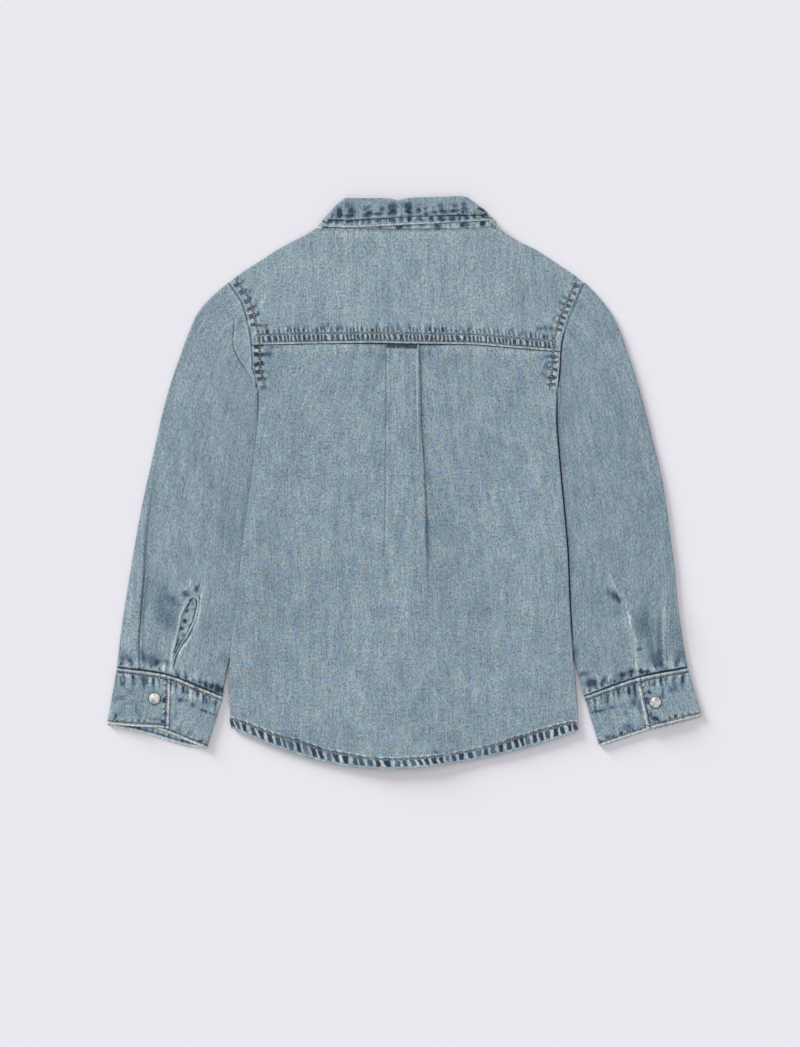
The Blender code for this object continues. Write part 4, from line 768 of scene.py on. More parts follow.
HEM_DEPTHS = (
    (-140, 7), (-126.4, 8.6), (-112.8, 8.8), (-92, 9.8), (-83.2, 10.8), (-72, 9.6), (-45.6, 8.8),
    (-20, 7.6), (0, 7.5), (24, 7.2), (53.6, 7.6), (77.6, 8.8), (89.6, 9.8), (104, 10),
    (121.6, 9.4), (132.8, 8.2), (139.2, 6.4))
hem_depth = smooth_curve(HEM_DEPTHS)


def hem_seam(x, height):
    return seam(ROPE, x, height * ROPE.stitched / hem_depth(x), 1.0,
                lean=mix(0.38, 0.25, ramp((x + 100) / 200)), table=HEM_PUCKERS)


grid = back_grid(graded(((0.06, 18), (0.92, 78), (1.0, 26))), 12, 92, 24, 16)
x, y = grid[..., 0], grid[..., 1]
to_yoke, to_hem = yoke_seam(x) - y, y - hem(x)
# Painted shade and highlight along the box pleat's two folded edges.
PLEAT_EDGES = (
    (((-15.6, 106), (-15.6, 40), (-16, -10), (-17, -62)), 0.55),
    (((9.6, 106), (9.6, 70), (10.4, 20)), -0.6))
back_seams = (seam(MARKS_AND_EDGE_SHADOW, x, to_yoke, 1.0, 1.0), armhole_seam(x, y), hem_seam(x, to_hem),
              creases(x, y, PLEAT_EDGES))
relief = allowance(back_seams[1], 0.45) + allowance(back_seams[2], 0.5)
relief += ripples(back_seams[2], 0.3) + ripples(back_seams[1], 0.14)
relief += soft_waves(x, y, 0.22, 1.0) * ramp(to_hem / 30) * ramp(to_yoke / 20)
BACK_DYE = (
    (-114.4, 102.8, 7.2, 2.2, 0.4), (-108.8, 104, 2.4, 3.6, 0.3, 10),
    (-118.4, 108.8, 2.4, 1.4, 0.4), (-105.6, 108.3, 6.4, 1, 0.3, 6),
    (-119.6, 94.8, 2, 1.8, 0.35, 20), (-114.4, 94.6, 2.1, 1.3, 0.4), (-115.2, 87.6, 2.2, 1.4, 0.4),
    (-109.6, 88.2, 2.8, 1, 0.2), (-120, 88, 1.6, 2.1, 0.35), (-108, 96.8, 2.4, 4, 0.1),
    (113.6, 100.8, 2.4, 1.1, 0.3), (112.8, 93.6, 2.2, 3.2, 0.36, -20),
    (111.2, 86.4, 3.2, 1.9, 0.34, -30), (115.2, 82.8, 2.8, 1.3, 0.3, -25),
    (108.8, 100, 3.2, 2.4, 0.12), (110.4, 95.2, 1, 4.8, -0.14, -20),
    (14.4, 104, 2.7, 1.1, 0.26, -5), (14.4, 100, 2.4, 2.1, 0.2), (19.2, 104, 1.8, 3.2, 0.22, 20),
    (-2.4, 103.2, 2.1, 2.4, 0.22), (-17.6, 100, 4.8, 2.4, 0.12), (-26.4, 103.2, 6.4, 4, 0.08),
    (-93.6, -201.6, 4, 1.6, 0.16, -18), (-86.4, -204, 3.2, 1.9, 0.24, -30),
    (-79.2, -208.8, 4.8, 1.3, 0.22, -15), (-69.6, -211.2, 3.2, 1.3, 0.26, -14),
    (24.8, -215.2, 4, 1.9, 0.24, -6), (37.6, -213.6, 3.2, 1.3, 0.24),
    (87.2, -204, 4.8, 1.9, 0.2, 14), (93.6, -203.6, 3.2, 1.1, 0.2, 12),
    (-26.4, -218.4, 2.4, 1.1, 0.2), (-127.2, -186.4, 3.2, 1.3, 0.16, -20),
    (-44, -201.6, 24, 4, 0.04), (28, -204, 24, 4.8, 0.04))
stain = patches(x, y, BACK_DYE)
inside_pleat = ramp((x + 15.2) / 1.2) * (1 - ramp((x - 9.2) / 1.2))
stain = stain + 0.60 * inside_pleat * (1 - ramp((to_yoke - 3.9) / 0.9))
make_cloth("back_panel", grid, ["back"], out=-1, relief=relief, seams=back_seams,
           stain=stain, wash=0.64, tint=2.0)

# %% [markdown]
# ## The fronts and the front closure
#
# The fronts lie on the floor, so only their edges and their underside ever show. They are
# finished plainly: two panels, and the two bands that close over each other with snaps.

# %% The fronts
def front_neck(angle):
    """Front neckline by angle: 0 at the centre front, a quarter turn at each side of the neck."""
    half = np.where(angle < 0, -SILHOUETTE[0].left, SILHOUETTE[0].right)
    return half * np.sin(angle), NECK_TOP - NECK_FRONT_DROP * np.cos(angle)


def front_grid(side, shares, upper_rows, turn_count, panel_count):
    """One front from its hem to the front yoke seam, out to the side and the armhole.

    Its rows meet the side at the same heights as the back's rows.
    """
    sign = SIGN[side]
    upper = np.asarray(upper_rows)
    seam_out, seam_in = FRONT_YOKE_SEAM[side]
    inner_x = sign * (PLACKET_HALF + SEAM_GAP)
    hem_out = hem(sign * HEM_HALF) + FRONT_HEM_SHORT
    heights = side_heights(side, shares)
    heights = heights[(heights < UNDERARM - 2.0) & (heights > hem_out + 4.0)][::-1]
    rows = (np.concatenate([[hem_out], heights, [UNDERARM]]) - hem_out) / (UNDERARM - hem_out)
    hem_in = hem(inner_x) + FRONT_HEM_SHORT
    out_y = np.concatenate([mix(hem_out, UNDERARM, rows),
                            mix(UNDERARM, seam_out.height, upper)[1:]])
    place = body_edge(side, out_y)
    neck_foot = np.arcsin(abs(inner_x) / abs(getattr(SILHOUETTE[0], side)))
    neck_head = np.arcsin(min(abs(seam_in.across / getattr(SILHOUETTE[0], side)), 1.0))
    split = 0.42
    foot_y = front_neck(sign * neck_foot)[1]
    angle = sign * mix(neck_foot, neck_head, np.clip((upper - split) / (1 - split), 0, 1))
    neck_x, neck_y = front_neck(angle)
    straight = upper < split
    in_x = np.where(straight, inner_x, neck_x + 0 * upper)
    in_y = np.where(straight, mix(UNDERARM, foot_y, upper / split), neck_y - SEAM_GAP)
    in_x = np.concatenate([inner_x + 0 * rows, in_x[1:]])
    in_y = np.concatenate([mix(hem_in, UNDERARM, rows), in_y[1:]])
    place, out_y, in_x, in_y = (a[:, None] for a in (place, out_y, in_x, in_y))
    low, high = front_under(place, out_y), back_top(place, out_y)
    angles = np.linspace(TURN_STOP, 0.0, turn_count)[None, :]
    corner = side_turn(place, out_y, sign, low, high, closed_side(out_y), angles)
    corner[..., 2] = low + high - corner[..., 2]
    t = np.linspace(0, 1, panel_count + 1)[None, 1:]
    x = mix(corner[:, -1:, 0], in_x, t)
    y = mix(out_y, in_y, t)
    sag = (hem(x) + FRONT_HEM_SHORT - mix(hem_out, hem_in, t)) * (1 - ramp((y - LOWEST) / 120.0))
    panel = np.stack([x, y + sag, front_under(x, y) + CLOTH / 2], axis=-1)
    return np.concatenate([corner, panel], axis=1)


def front_seam_height(x):
    """Height of the front yoke seam, which slants down to both sides."""
    heights = []
    for side in SIDES:
        outer, inner = FRONT_YOKE_SEAM[side]
        share = (x - outer.across) / (inner.across - outer.across)
        heights.append(mix(outer.height, inner.height, share))
    return np.where(x < 0, *heights)


SLANT = 0.8              # distance from that seam for each step of height

for side in SIDES:
    grid = front_grid(side, graded(((0.9, 44), (1.0, 12))), np.linspace(0, 1, 26), 10, 44)
    x, y = grid[..., 0], grid[..., 1]
    to_seam = (front_seam_height(x) - y) * SLANT
    front_seams = (seam(MARKS_AND_EDGE_SHADOW, x, to_seam, 0.8, 6.0), armhole_seam(x, y),
                   hem_seam(-x, y - hem(x) - FRONT_HEM_SHORT))
    make_cloth(f"front_panel_{side}", grid, [f"front_{side}"], out=SIGN[side],
               seams=front_seams, grain=(0.3, 0.9 + SIGN[side]))

# %% The two bands of the closure
def placket_grid(name, rows, columns):
    low, high = PLACKETS[name]
    x = np.linspace(-PLACKET_HALF, PLACKET_HALF, columns)[None, :]
    top = NECK_TOP - NECK_FRONT_DROP * np.sqrt(1 - (x / NECK_HALF) ** 2) - SEAM_GAP
    y = mix(hem(x) + FRONT_HEM_SHORT, top, np.linspace(0, 1, rows)[:, None])
    return np.stack([x + 0 * y, y, (low + high) / 2 + 0 * y], axis=-1)


for name in PLACKETS:
    grid = placket_grid(name, 150, 16)
    x, y = grid[..., 0], grid[..., 1]
    band_seams = (seam(CUFF_EDGE, y, PLACKET_HALF - abs(x), 0.9, 7.0),)
    make_cloth(f"{name}_band", grid, [name], out=-1, wall=1.0, seams=band_seams,
               grain=(0.2, 0.4))

# %% [markdown]
# ## The yoke
#
# The yoke runs from the back over the shoulders to the fronts. Its lower edge is turned in and
# stitched down twice over the back, so it stands a little proud there, and the cloth above it
# is drawn into short ridges.

# %% The neckline's back
def neck_back(x):
    return NECK_TOP - NECK_BACK_DIP * (1 - (x / NECK_HALF) ** 2) - SEAM_GAP / 2


def pleat_cover(x, y):
    """Rise of the yoke's lower edge over the folded layers of the box pleat."""
    return 2.9 * (1 - ramp((abs(x + 2.0) - 15.0) / 34.0)) * ramp((158.0 - y) / 44.0)


def shoulder_grid(side, back_rows, turn_angles, front_rows, columns):
    """One shoulder of the yoke, from the back seam over the shoulder to the front seam."""
    sign = SIGN[side]
    t = np.asarray(columns)[None, :]
    neck = getattr(SILHOUETTE[0], side)
    rho = np.asarray(back_rows)[:, None]
    outline = smooth_curve([(abs(getattr(e, side)), e.height) for e in SILHOUETTE[:8]])
    top_x = mix(armhole[side](160.0) - sign * SEAM_GAP, neck, t)
    top_y = outline(abs(top_x))
    slope = np.gradient(top_y[0], top_x[0])[None, :]
    out = unit(np.stack([-slope, 1 + 0 * slope], axis=-1))
    low, high = front_under(top_x, top_y), back_top(top_x, top_y)
    reach, radius = (high - low) / 2, (high - low - CLOTH) / 2
    pivot_x, pivot_y = top_x - out[..., 0] * reach, top_y - out[..., 1] * reach

    seam_y = yoke_seam(mix(sign * YOKE_HALF, neck, t)) + SEAM_GAP / 2
    y = mix(seam_y, pivot_y, rho)
    hole = armhole[side](mix(seam_y[0, 0], 160.0, rho)) - sign * SEAM_GAP
    x = mix(hole, pivot_x[0, -1], t)
    x = x + (pivot_x - mix(hole[-1, 0], pivot_x[0, -1], t)) * rho ** 3
    back = np.stack([x, y, back_top(x, y) - CLOTH / 2 + pleat_cover(x, y)], axis=-1)

    angle = np.asarray(turn_angles)[:, None]
    turn = np.stack([pivot_x + out[..., 0] * radius * np.cos(angle),
                     pivot_y + out[..., 1] * radius * np.cos(angle),
                     (low + high) / 2 + radius * np.sin(angle)], axis=-1)

    phi = np.asarray(front_rows)[:, None]
    seam_out, seam_in = FRONT_YOKE_SEAM[side]
    end_y = mix(seam_out.height, seam_in.height, t) + SEAM_GAP
    y = mix(pivot_y, end_y, phi)
    hole = armhole[side](mix(160.0, seam_out.height, phi)) - sign * SEAM_GAP
    neck_angle = np.arccos(np.clip((NECK_TOP - y[:, -1:]) / NECK_FRONT_DROP, 0, 1))
    neck_x = sign * abs(front_neck(sign * neck_angle)[0])
    x = mix(hole, mix(pivot_x[0, -1], neck_x, ramp(phi * 3)), t)
    x = x + (pivot_x - mix(hole[0, 0], pivot_x[0, -1], t)) * (1 - phi) ** 3
    front = np.stack([x, y, front_under(x, y) + CLOTH / 2], axis=-1)
    return np.concatenate([back, turn, front], axis=0)


# %% The yoke
def yoke_grid(back_rows, turns, front_rows, shoulder_columns, neck_columns):
    left = shoulder_grid(LEFT, back_rows, turns, front_rows, shoulder_columns)
    right = shoulder_grid(RIGHT, back_rows, turns, front_rows, shoulder_columns)[:, ::-1]
    t = np.linspace(0, 1, neck_columns + 2)[None, 1:-1]
    rho = np.asarray(back_rows)[:, None]
    count = len(back_rows)
    x = mix(left[:count, -1:, 0], right[:count, :1, 0], t)
    top = mix(left[count - 1, -1, 1], right[count - 1, 0, 1], t)
    top = top + neck_back(x) - neck_back(NECK_HALF)
    y = mix(yoke_seam(x) + SEAM_GAP / 2, top, rho)
    neck = np.stack([x, y, back_top(x, y) - CLOTH / 2 + pleat_cover(x, y)], axis=-1)
    rest = len(left) - count
    neck = np.concatenate([neck, np.repeat(neck[-1:], rest, axis=0)], axis=0)
    grid = np.concatenate([left, neck, right], axis=1)
    keep = np.ones((grid.shape[0] - 1, grid.shape[1] - 1), bool)
    first = left.shape[1] - 1
    keep[count - 1:, first:first + neck_columns + 1] = False
    return grid, keep


shoulder_rows = graded(((0.13, 16), (0.85, 30), (1.0, 12)))
turn_rows = np.radians(np.linspace(75, -75, 7))
front_rows = np.linspace(0, 1, 18)
grid, keep = yoke_grid(shoulder_rows, turn_rows, front_rows, np.linspace(0, 1, 56), 120)
x, y = grid[..., 0], grid[..., 1]
on_back = (np.arange(len(grid)) < len(shoulder_rows))[:, None]
to_seam = np.where(on_back, y - yoke_seam(x), (y - front_seam_height(x)) * SLANT)
to_neck = np.where(on_back, neck_back(x) - y, 99.0)
yoke_seams = (seam(BARS, x, to_seam, ramp((abs(x) - 121) / -4), 4.0, 0.12), armhole_seam(x, y),
              seam(MARKS_AND_EDGE_SHADOW, x, to_neck, 0.6, 5.0))
relief = allowance(yoke_seams[0], 0.6) + allowance(yoke_seams[1], 0.45)
relief += ripples(yoke_seams[0], 0.14) + ripples(yoke_seams[1], 0.16)
relief += soft_waves(x, y, 0.2, 2.0) * ramp(to_seam / 25) * ramp((200 - y) / 20)
relief = relief * on_back
YOKE_DYE = (
    (108, 154, 15, 15, 0.06), (-104, 154, 15, 15, 0.03), (-129.6, 161.2, 1.4, 1.9, 0.26, -40),
    (-124.4, 152, 1.2, 3.6, 0.34, -18), (-119.6, 142.4, 1.1, 2.7, 0.26, -12),
    (-117.2, 136, 1.6, 2.7, 0.42), (-115.2, 129.6, 1.3, 1.6, 0.24),
    (-115.2, 125.9, 2.4, 1.3, 0.46), (-110.8, 126, 1.5, 1.5, 0.44), (-110.4, 120.8, 1.6, 2.1, 0.4),
    (-120.6, 119.2, 1.9, 4.4, -0.2), (-112.8, 146.4, 0.8, 7.2, -0.12, -18),
    (-119.2, 152.8, 0.8, 7.2, -0.14, -24), (118.8, 131.2, 1.1, 1.8, 0.4),
    (116.8, 123.6, 1.8, 1.6, 0.42, -20), (112.8, 124, 1.6, 2.7, 0.4),
    (109.2, 123.5, 2.4, 1.8, 0.3), (106, 123.5, 1.2, 1.9, 0.28), (124, 144, 1.3, 2.7, 0.28),
    (126.8, 148.8, 1.3, 1.6, 0.26), (112.4, 116.8, 1.6, 1.9, 0.36), (122, 116, 1.9, 5.6, -0.18),
    (116, 146.4, 1.3, 8, -0.08, 14), (-25.6, 121.6, 1.4, 1.6, 0.34), (-22.4, 124, 1.3, 4, 0.36),
    (-11.2, 124, 1.4, 3.2, 0.22), (-5.6, 124, 1.4, 3.7, 0.34), (2.8, 124.8, 1.8, 2.6, 0.26),
    (11.2, 124.8, 1, 4.8, 0.24), (18.4, 122.6, 2.4, 1.3, 0.42), (17.6, 125.6, 1.6, 1.6, 0.26),
    (24.8, 122.4, 1.6, 1.6, 0.3), (30.8, 122.4, 2.2, 2.1, 0.36), (13.4, 125.6, 0.7, 4.8, -0.18),
    (22.2, 125.6, 0.8, 5.6, -0.18), (-61.6, 125.6, 1.3, 2.9, 0.34), (-65.6, 124, 2.2, 2.2, 0.36),
    (-52, 124, 2.4, 2.4, 0.28), (-92.8, 122.8, 1.6, 2.7, 0.3), (-87.2, 122.4, 1.6, 2.4, 0.32),
    (-80.8, 122.8, 1.4, 2.4, 0.28), (-71.2, 122.4, 1.6, 2.4, 0.26), (-42.4, 122.4, 1.6, 2.4, 0.24),
    (-34.4, 123.2, 1.6, 2.4, 0.22), (44, 123.2, 1.6, 2.4, 0.26), (52, 124, 1.9, 2.7, 0.3),
    (61.6, 122.4, 1.6, 2.1, 0.24), (73.6, 121.6, 1.6, 2.4, 0.26), (84.8, 121.6, 1.9, 2.4, 0.3),
    (94.4, 120, 1.6, 2.4, 0.26), (100.8, 118.4, 1.6, 2.4, 0.34))
make_cloth("yoke_panel", grid, ["yoke"], relief=relief, keep=keep, seams=yoke_seams,
           stain=patches(x, y, YOKE_DYE, 2.0, 1.15) * on_back, grain=(0.7, 0.3), wash=0.68,
           tint=1.5)

# %% [markdown]
# ## The collar
#
# A shirt collar has two pieces: the neckband, a ring that stands round the neck, and the fall,
# which rolls over its top. Laid flat, the back of the neckband lies on the back, its ends meet
# under the chin, and the roll is the topmost edge of the whole shirt.

# %% The neckband and the fall
def stand_level(side, x):
    """Height of the middle of the neckband in front; its right end laps over its left end."""
    if side == LEFT:
        return STAND_LEVELS["front"] + 0 * x
    lapped = 1 - ramp((x - PLACKET_HALF) / 25.0)
    return mix(STAND_LEVELS["front"], STAND_LEVELS["lapped"], lapped)


def collar_front(side, starts_at, count):
    """Columns in front, from the centre front round to the side of the neck."""
    sign = SIGN[side]
    foot_x, head_x = abs(getattr(STAND_FOOT, side)), abs(getattr(STAND_HEAD, side))
    angle = np.linspace(np.arcsin(starts_at / foot_x), np.pi / 2, count)
    foot_low = NECK_TOP - NECK_FRONT_DROP + SEAM_GAP
    neck = np.stack([sign * foot_x * np.sin(angle),
                     mix(STAND_FOOT.height, foot_low, np.cos(angle))], axis=-1)
    head = np.stack([sign * head_x * np.sin(angle),
                     mix(STAND_HEAD.height, STAND_FRONT_HEAD, np.cos(angle))], axis=-1)
    share = (angle - angle[0]) / (np.pi / 2 - angle[0])
    tip = np.array([sign * COLLAR_POINT[0], COLLAR_POINT[1]])
    end = neck[-1] + np.array([-sign * 0.8, 0.9])
    bow = np.array([-sign * 9.0, -9.0])
    edge = mix(tip, end, share[:, None]) - bow * np.sin(np.pi * share)[:, None]
    out = np.tile([0.0, 0.0, -1.0], (count, 1))
    return neck, head, edge, out, np.full(count, ROLL_RISE)


def collar_turn(side, angles):
    """Columns round the side of the neck; angles run from the front (-90) to the back (90)."""
    foot = np.array([getattr(STAND_FOOT, side), STAND_FOOT.height])
    top = np.array([getattr(STAND_HEAD, side), STAND_HEAD.height])
    line = (top - foot) / np.linalg.norm(top - foot)
    normal = SIGN[side] * np.array([line[1], -line[0]]) * np.sign(line[1])
    radius = (STAND_LEVELS["back"] - STAND_LEVELS["front"]) / 2
    middle = (STAND_LEVELS["back"] + STAND_LEVELS["front"]) / 2
    shift = radius * np.cos(angles)[:, None] * normal
    out = np.concatenate([np.cos(angles)[:, None] * normal, np.sin(angles)[:, None]], axis=1)
    level = middle + radius * np.sin(angles)
    rise = np.full(len(angles), ROLL_RISE)
    return foot + shift, top + shift, foot + shift + 1.2 * line, out, rise, level


def collar_back(count):
    """Columns across the back of the neck, from left to right, without its two ends."""
    t = np.linspace(0, 1, count + 2)[1:-1]
    neck_x = mix(STAND_FOOT.left, STAND_FOOT.right, t)
    neck_y = STAND_FOOT.height - NECK_BACK_DIP * (1 - (2 * t - 1) ** 2)
    head_x = mix(STAND_HEAD.left, STAND_HEAD.right, t)
    head = np.stack([head_x, STAND_HEAD.height + 0 * t], axis=-1)
    edge = np.stack([mix(neck_x, head_x, 0.12), fall_edge(neck_x)], axis=-1)
    out = np.tile([0.0, 0.0, 1.0], (count, 1))
    rise = roll_line(head_x) - FALL_PITCH / 2 - BAND / 2 - STAND_HEAD.height
    return np.stack([neck_x, neck_y], axis=-1), head, edge, out, rise


def collar_columns(starts, front_count, turn_count, back_count):
    """All columns of the collar from its left front end round the back to its right one."""
    angles = np.linspace(-np.pi / 2, np.pi / 2, turn_count + 2)
    left = collar_front(LEFT, starts[0], front_count)
    right = [a[::-1] for a in collar_front(RIGHT, starts[1], front_count)]
    back = collar_back(back_count)
    turn_left = collar_turn(LEFT, angles[1:])
    turn_right = [a[::-1] for a in collar_turn(RIGHT, angles[1:])]
    plan = [np.concatenate(parts, axis=0)
            for parts in zip(left, turn_left[:5], back, turn_right[:5], right)]
    level = np.concatenate([stand_level(LEFT, left[0][:, 0]), turn_left[5],
                            np.full(back_count, STAND_LEVELS["back"]), turn_right[5],
                            stand_level(RIGHT, right[0][:, 0])])
    return plan + [level]


def stand_grid(rows, front_count, turn_count, back_count):
    starts = (-STAND_LAP, -STAND_LAP)
    neck, head, _, _, _, level = collar_columns(starts, front_count, turn_count, back_count)
    share = np.asarray(rows)[:, None]
    plan = mix(neck[None], head[None], share[..., None])
    return np.concatenate([plan, np.broadcast_to(level, plan.shape[:2])[..., None]], axis=2)


def fall_grid(roll_angles, leaf_rows, front_count, turn_count, back_count):
    """The fall: from the top of the neckband, over the roll and down outside the neckband."""
    starts = (FALL_START, FALL_START)
    columns = collar_columns(starts, front_count, turn_count, back_count)
    neck, head, edge, out, rise, level = columns
    up = np.concatenate([unit(head - neck), np.zeros((len(head), 1))], axis=1)
    base = np.concatenate([head, level[:, None]], axis=1)
    lapped = np.maximum(level - STAND_LEVELS["front"], 0.0) * (out[:, 2] < -0.99)
    pitch = (FALL_PITCH + lapped)[:, None]
    rows = [base + up * SEAM_GAP * 1.5, base + up * rise[:, None]]
    for angle in roll_angles:
        rows.append(base + up * (rise[:, None] + pitch / 2 * np.cos(angle))
                    + out * pitch / 2 * (1 + np.sin(angle)))
    start = base + up * rise[:, None] + out * pitch
    free = np.concatenate([edge, level[:, None]], axis=1) + out * pitch
    rows += [mix(start, free, share) for share in leaf_rows]
    return np.stack(rows)


# How far the ends of the roll swell outwards, by height; then how far its corners are lifted,
# and how far the fall's edge has crept up, by the place across.
SWELL = {
    LEFT: (
        (203, 0.8), (208, 1.4), (214, 1.8), (222.5, 2.2), (228, 0.4)),
    RIGHT: (
        (203, 0.8), (206.4, 2.4), (210.4, 3.6), (214.4, 4.4), (218.4, 4.4), (222.4, 2.2),
        (226.4, 0.2), (229, -0.6))}
LIFT = (
    (-46.8, 0), (-45.6, 1.3), (-43, 1.5), (-38, 0.9), (-28, 0.4), (-18, 0), (30, 0), (38, 0.8),
    (44, 1.3), (46, 1.5), (47.4, 2.7), (48.6, 1.6), (50, 0.8), (52, 0.5), (58, 0))
EDGE_LIFT = ((-70.0, -1.2), (-45.0, -0.8), (-20.0, 0.3), (0.0, 1.0), (60.0, 1.0))

ROLL_CORNER = {LEFT: 46.7, RIGHT: 50.0}    # half width of the roll at the height ROLL_TOP
ROLL_TOP = 227.2


def edge_lift(x):
    """How far the fall's edge has crept up the neckband."""
    return np.interp(x, *np.array(EDGE_LIFT).T)


def swollen(grid, crept=0.0):
    """The doubled cloth swells at the two ends of the roll, and rounds its corners."""
    x, y = grid[..., 0], grid[..., 1]
    lift = np.interp(x, *np.array(LIFT).T, 0, 0) * ramp((y - 214) / 10)
    lift += crept * edge_lift(x) * (1 - ramp((y - 207.5) / 5.0)) * ramp((y - 196) / 6.0)
    for side in SIDES:
        from_corner = SIGN[side] * x - (ROLL_CORNER[side] + ROLL_TOP - y)
        out = np.interp(y, *np.array(SWELL[side]).T, 0, 0) * ramp((from_corner + 16) / 16)
        x = x + SIGN[side] * out
    return np.stack([x, y + lift, grid[..., 2]], axis=-1)


grid = swollen(stand_grid(np.linspace(0, 1, 16), 40, 9, 220))
x, y = grid[..., 0], grid[..., 1]
length = along(grid, 1)
BAND_DYE = (
    (-66.4, 204, 3.2, 0.6, 0.5), (-53.6, 204.4, 3.2, 0.6, 0.4), (-48.8, 204.4, 1.9, 0.6, 0.5),
    (-19.2, 205.1, 3, 1.2, 0.7, 4), (-4.8, 205.2, 3.7, 2.3, 0.76), (2.6, 205.6, 2.6, 1.8, 0.6),
    (13.6, 205.8, 2.9, 1.5, 0.5, -8), (26, 205.2, 4, 2.3, 0.72), (47.4, 206, 4.3, 2.2, 0.76),
    (62, 207, 2.6, 2.6, 0.8), (54.4, 205.6, 1.6, 1.9, 0.24), (36, 205.4, 1.6, 1.4, 0.3))
make_cloth("neckband", grid, ["collar_stand"], out=1, wall=1.1,
           seams=(seam(BAND_MARKS, length, along(grid, 0), 1.0, 8.0),),
           stain=patches(x, y, BAND_DYE, 2.2) * (y > 198), grain=(0.5, 0.1), wash=0.78)

grid = swollen(fall_grid(FOLD_ANGLES[::-1], np.linspace(0, 1, 30), 44, 11, 260), 1.0)
x, y = grid[..., 0], grid[..., 1]
length, across = along(grid, 1), along(grid, 0)
# Painted shade and highlight along the folded right end of the fall.
FALL_CREASES = ((((56, 221), (60.8, 218), (64.8, 213.6), (67.6, 209.6)), 0.9),)
fall_seams = (seam(COLLAR_MARKS, length[-1:], across[-1:] - across, 1.0, 9.0, 0.25),
              seam(CUFF_EDGE, across, np.minimum(length, length[:, -1:] - length), 0.9, 9.5),
              creases(x, y, FALL_CREASES))
relief = ripples(fall_seams[0], 0.22) + 0.2 * np.exp(-(fall_seams[0].marks[..., 1] / 0.25) ** 2)
relief = relief * ramp((grid[..., 2] - 2.0) / 1.0)
FALL_DYE = (
    (-57.9, 212.8, 0.9, 2.1, 0.44, -8), (-52.4, 216.4, 2.5, 4.1, 0.5, 6),
    (-53.1, 212.8, 3, 1.5, 0.46), (-50.8, 213.8, 1.8, 1.2, 0.3), (-44.4, 213, 4.8, 1.7, 0.5),
    (-42, 216.4, 3.4, 3.2, 0.4, -20), (-44, 220.4, 3.1, 4.5, 0.28, 20),
    (-39.2, 221.6, 4.6, 3.6, 0.1), (-47.2, 223.6, 1.8, 1.2, 0.16), (-47.6, 220.8, 1.8, 1.2, 0.18),
    (-29.8, 214, 3.7, 2.4, 0.52, 16), (-28, 216.2, 2.4, 1.5, 0.36), (-31.6, 219.2, 2.4, 2.5, 0.3),
    (-28.4, 220.5, 1.8, 2, 0.24), (-21.6, 214.7, 4.8, 1.6, 0.5), (-18.4, 218.7, 2.2, 2.5, 0.36),
    (-10, 220.3, 3.9, 3.9, 0.46, 14), (-10.4, 215.5, 4.4, 2.2, 0.52, 10),
    (3.2, 220, 2.8, 4.8, 0.46), (-0.8, 221.6, 2.8, 2.7, 0.24), (4, 215.2, 2.4, 1.5, 0.46),
    (0.5, 216.8, 1.8, 1.2, 0.3), (10.8, 217.4, 2.6, 2.5, 0.46), (16.4, 218.8, 2.2, 1.6, 0.32),
    (12, 221.6, 1.8, 1.8, 0.26), (16.8, 214.9, 2.5, 1.5, 0.5), (23.2, 216, 2.5, 1.5, 0.46),
    (22.8, 219.6, 1.5, 1.1, 0.26), (28.4, 221.2, 2.5, 2.9, 0.34), (30, 216.4, 3.3, 2.4, 0.5),
    (38.8, 217.1, 4.9, 1.6, 0.46, 4), (40, 221.2, 2.2, 1.8, 0.26), (36, 222.4, 1.8, 1.2, 0.18),
    (47, 222.6, 2.5, 2, 0.36), (47.8, 218, 3.1, 2.7, 0.46), (46, 214.9, 1.6, 1.6, 0.46),
    (42.4, 214.6, 1.6, 1.2, 0.4), (50.1, 215.7, 1.1, 1.2, 0.4), (52.8, 215.4, 1.3, 1.2, 0.4),
    (56, 215.7, 1.3, 1.6, 0.44), (59, 215.7, 1.5, 1.2, 0.34), (60, 218.4, 2.8, 1.1, 0.4, -16),
    (64, 216, 1.3, 2.7, 0.34, 30), (-59.6, 208.6, 2.8, 2.1, 0.52), (-54.2, 208.6, 1.8, 2, 0.46),
    (-50.6, 208.5, 1.6, 2, 0.4), (-44, 208.6, 2.8, 2.4, 0.54), (-38.2, 208.6, 1.6, 2.4, 0.44),
    (-33.6, 208.5, 1.6, 2.1, 0.44), (-29, 208.8, 2.4, 2.7, 0.52, 14),
    (-20.4, 209.3, 2.8, 2.4, 0.4), (-16.4, 210.7, 1.8, 1.5, 0.28), (-10.8, 209.9, 3, 2.5, 0.5),
    (-3.2, 210.6, 2.1, 2.9, 0.46), (3.6, 210.7, 2.5, 2.5, 0.54), (11.4, 210.9, 2.4, 2.4, 0.46),
    (20.8, 210.4, 2.5, 2.4, 0.46), (29, 210.9, 3.9, 2.7, 0.54), (37.6, 211, 3.9, 2.4, 0.44),
    (43.7, 211.2, 1.1, 2.9, 0.5, -14), (48.8, 211.7, 2.5, 2.5, 0.5), (55.4, 212.5, 1.8, 2.5, 0.4),
    (61.8, 213.1, 2.4, 1.8, 0.5), (-34.4, 226.4, 12.9, 1.5, 0.1), (-16, 224, 1.8, 1.8, 0.14))
make_cloth("collar_fall", grid, ["collar_leaf"], out=-1, wall=1.1, relief=relief,
           seams=fall_seams, stain=patches(x, y, FALL_DYE, 2.0, 1.12) * (y > 200),
           grain=(0.9, 0.6), wash=0.62, tint=1.8)

# %% [markdown]
# ## The sleeves
#
# Each sleeve is a tube pressed flat. One ring of the tube runs over the upper wall from the
# inner fold, past the slit, through the pleat to the outer fold and back along the floor. The
# seam to the cuff gathers the cloth a little, which is where its ridges start.

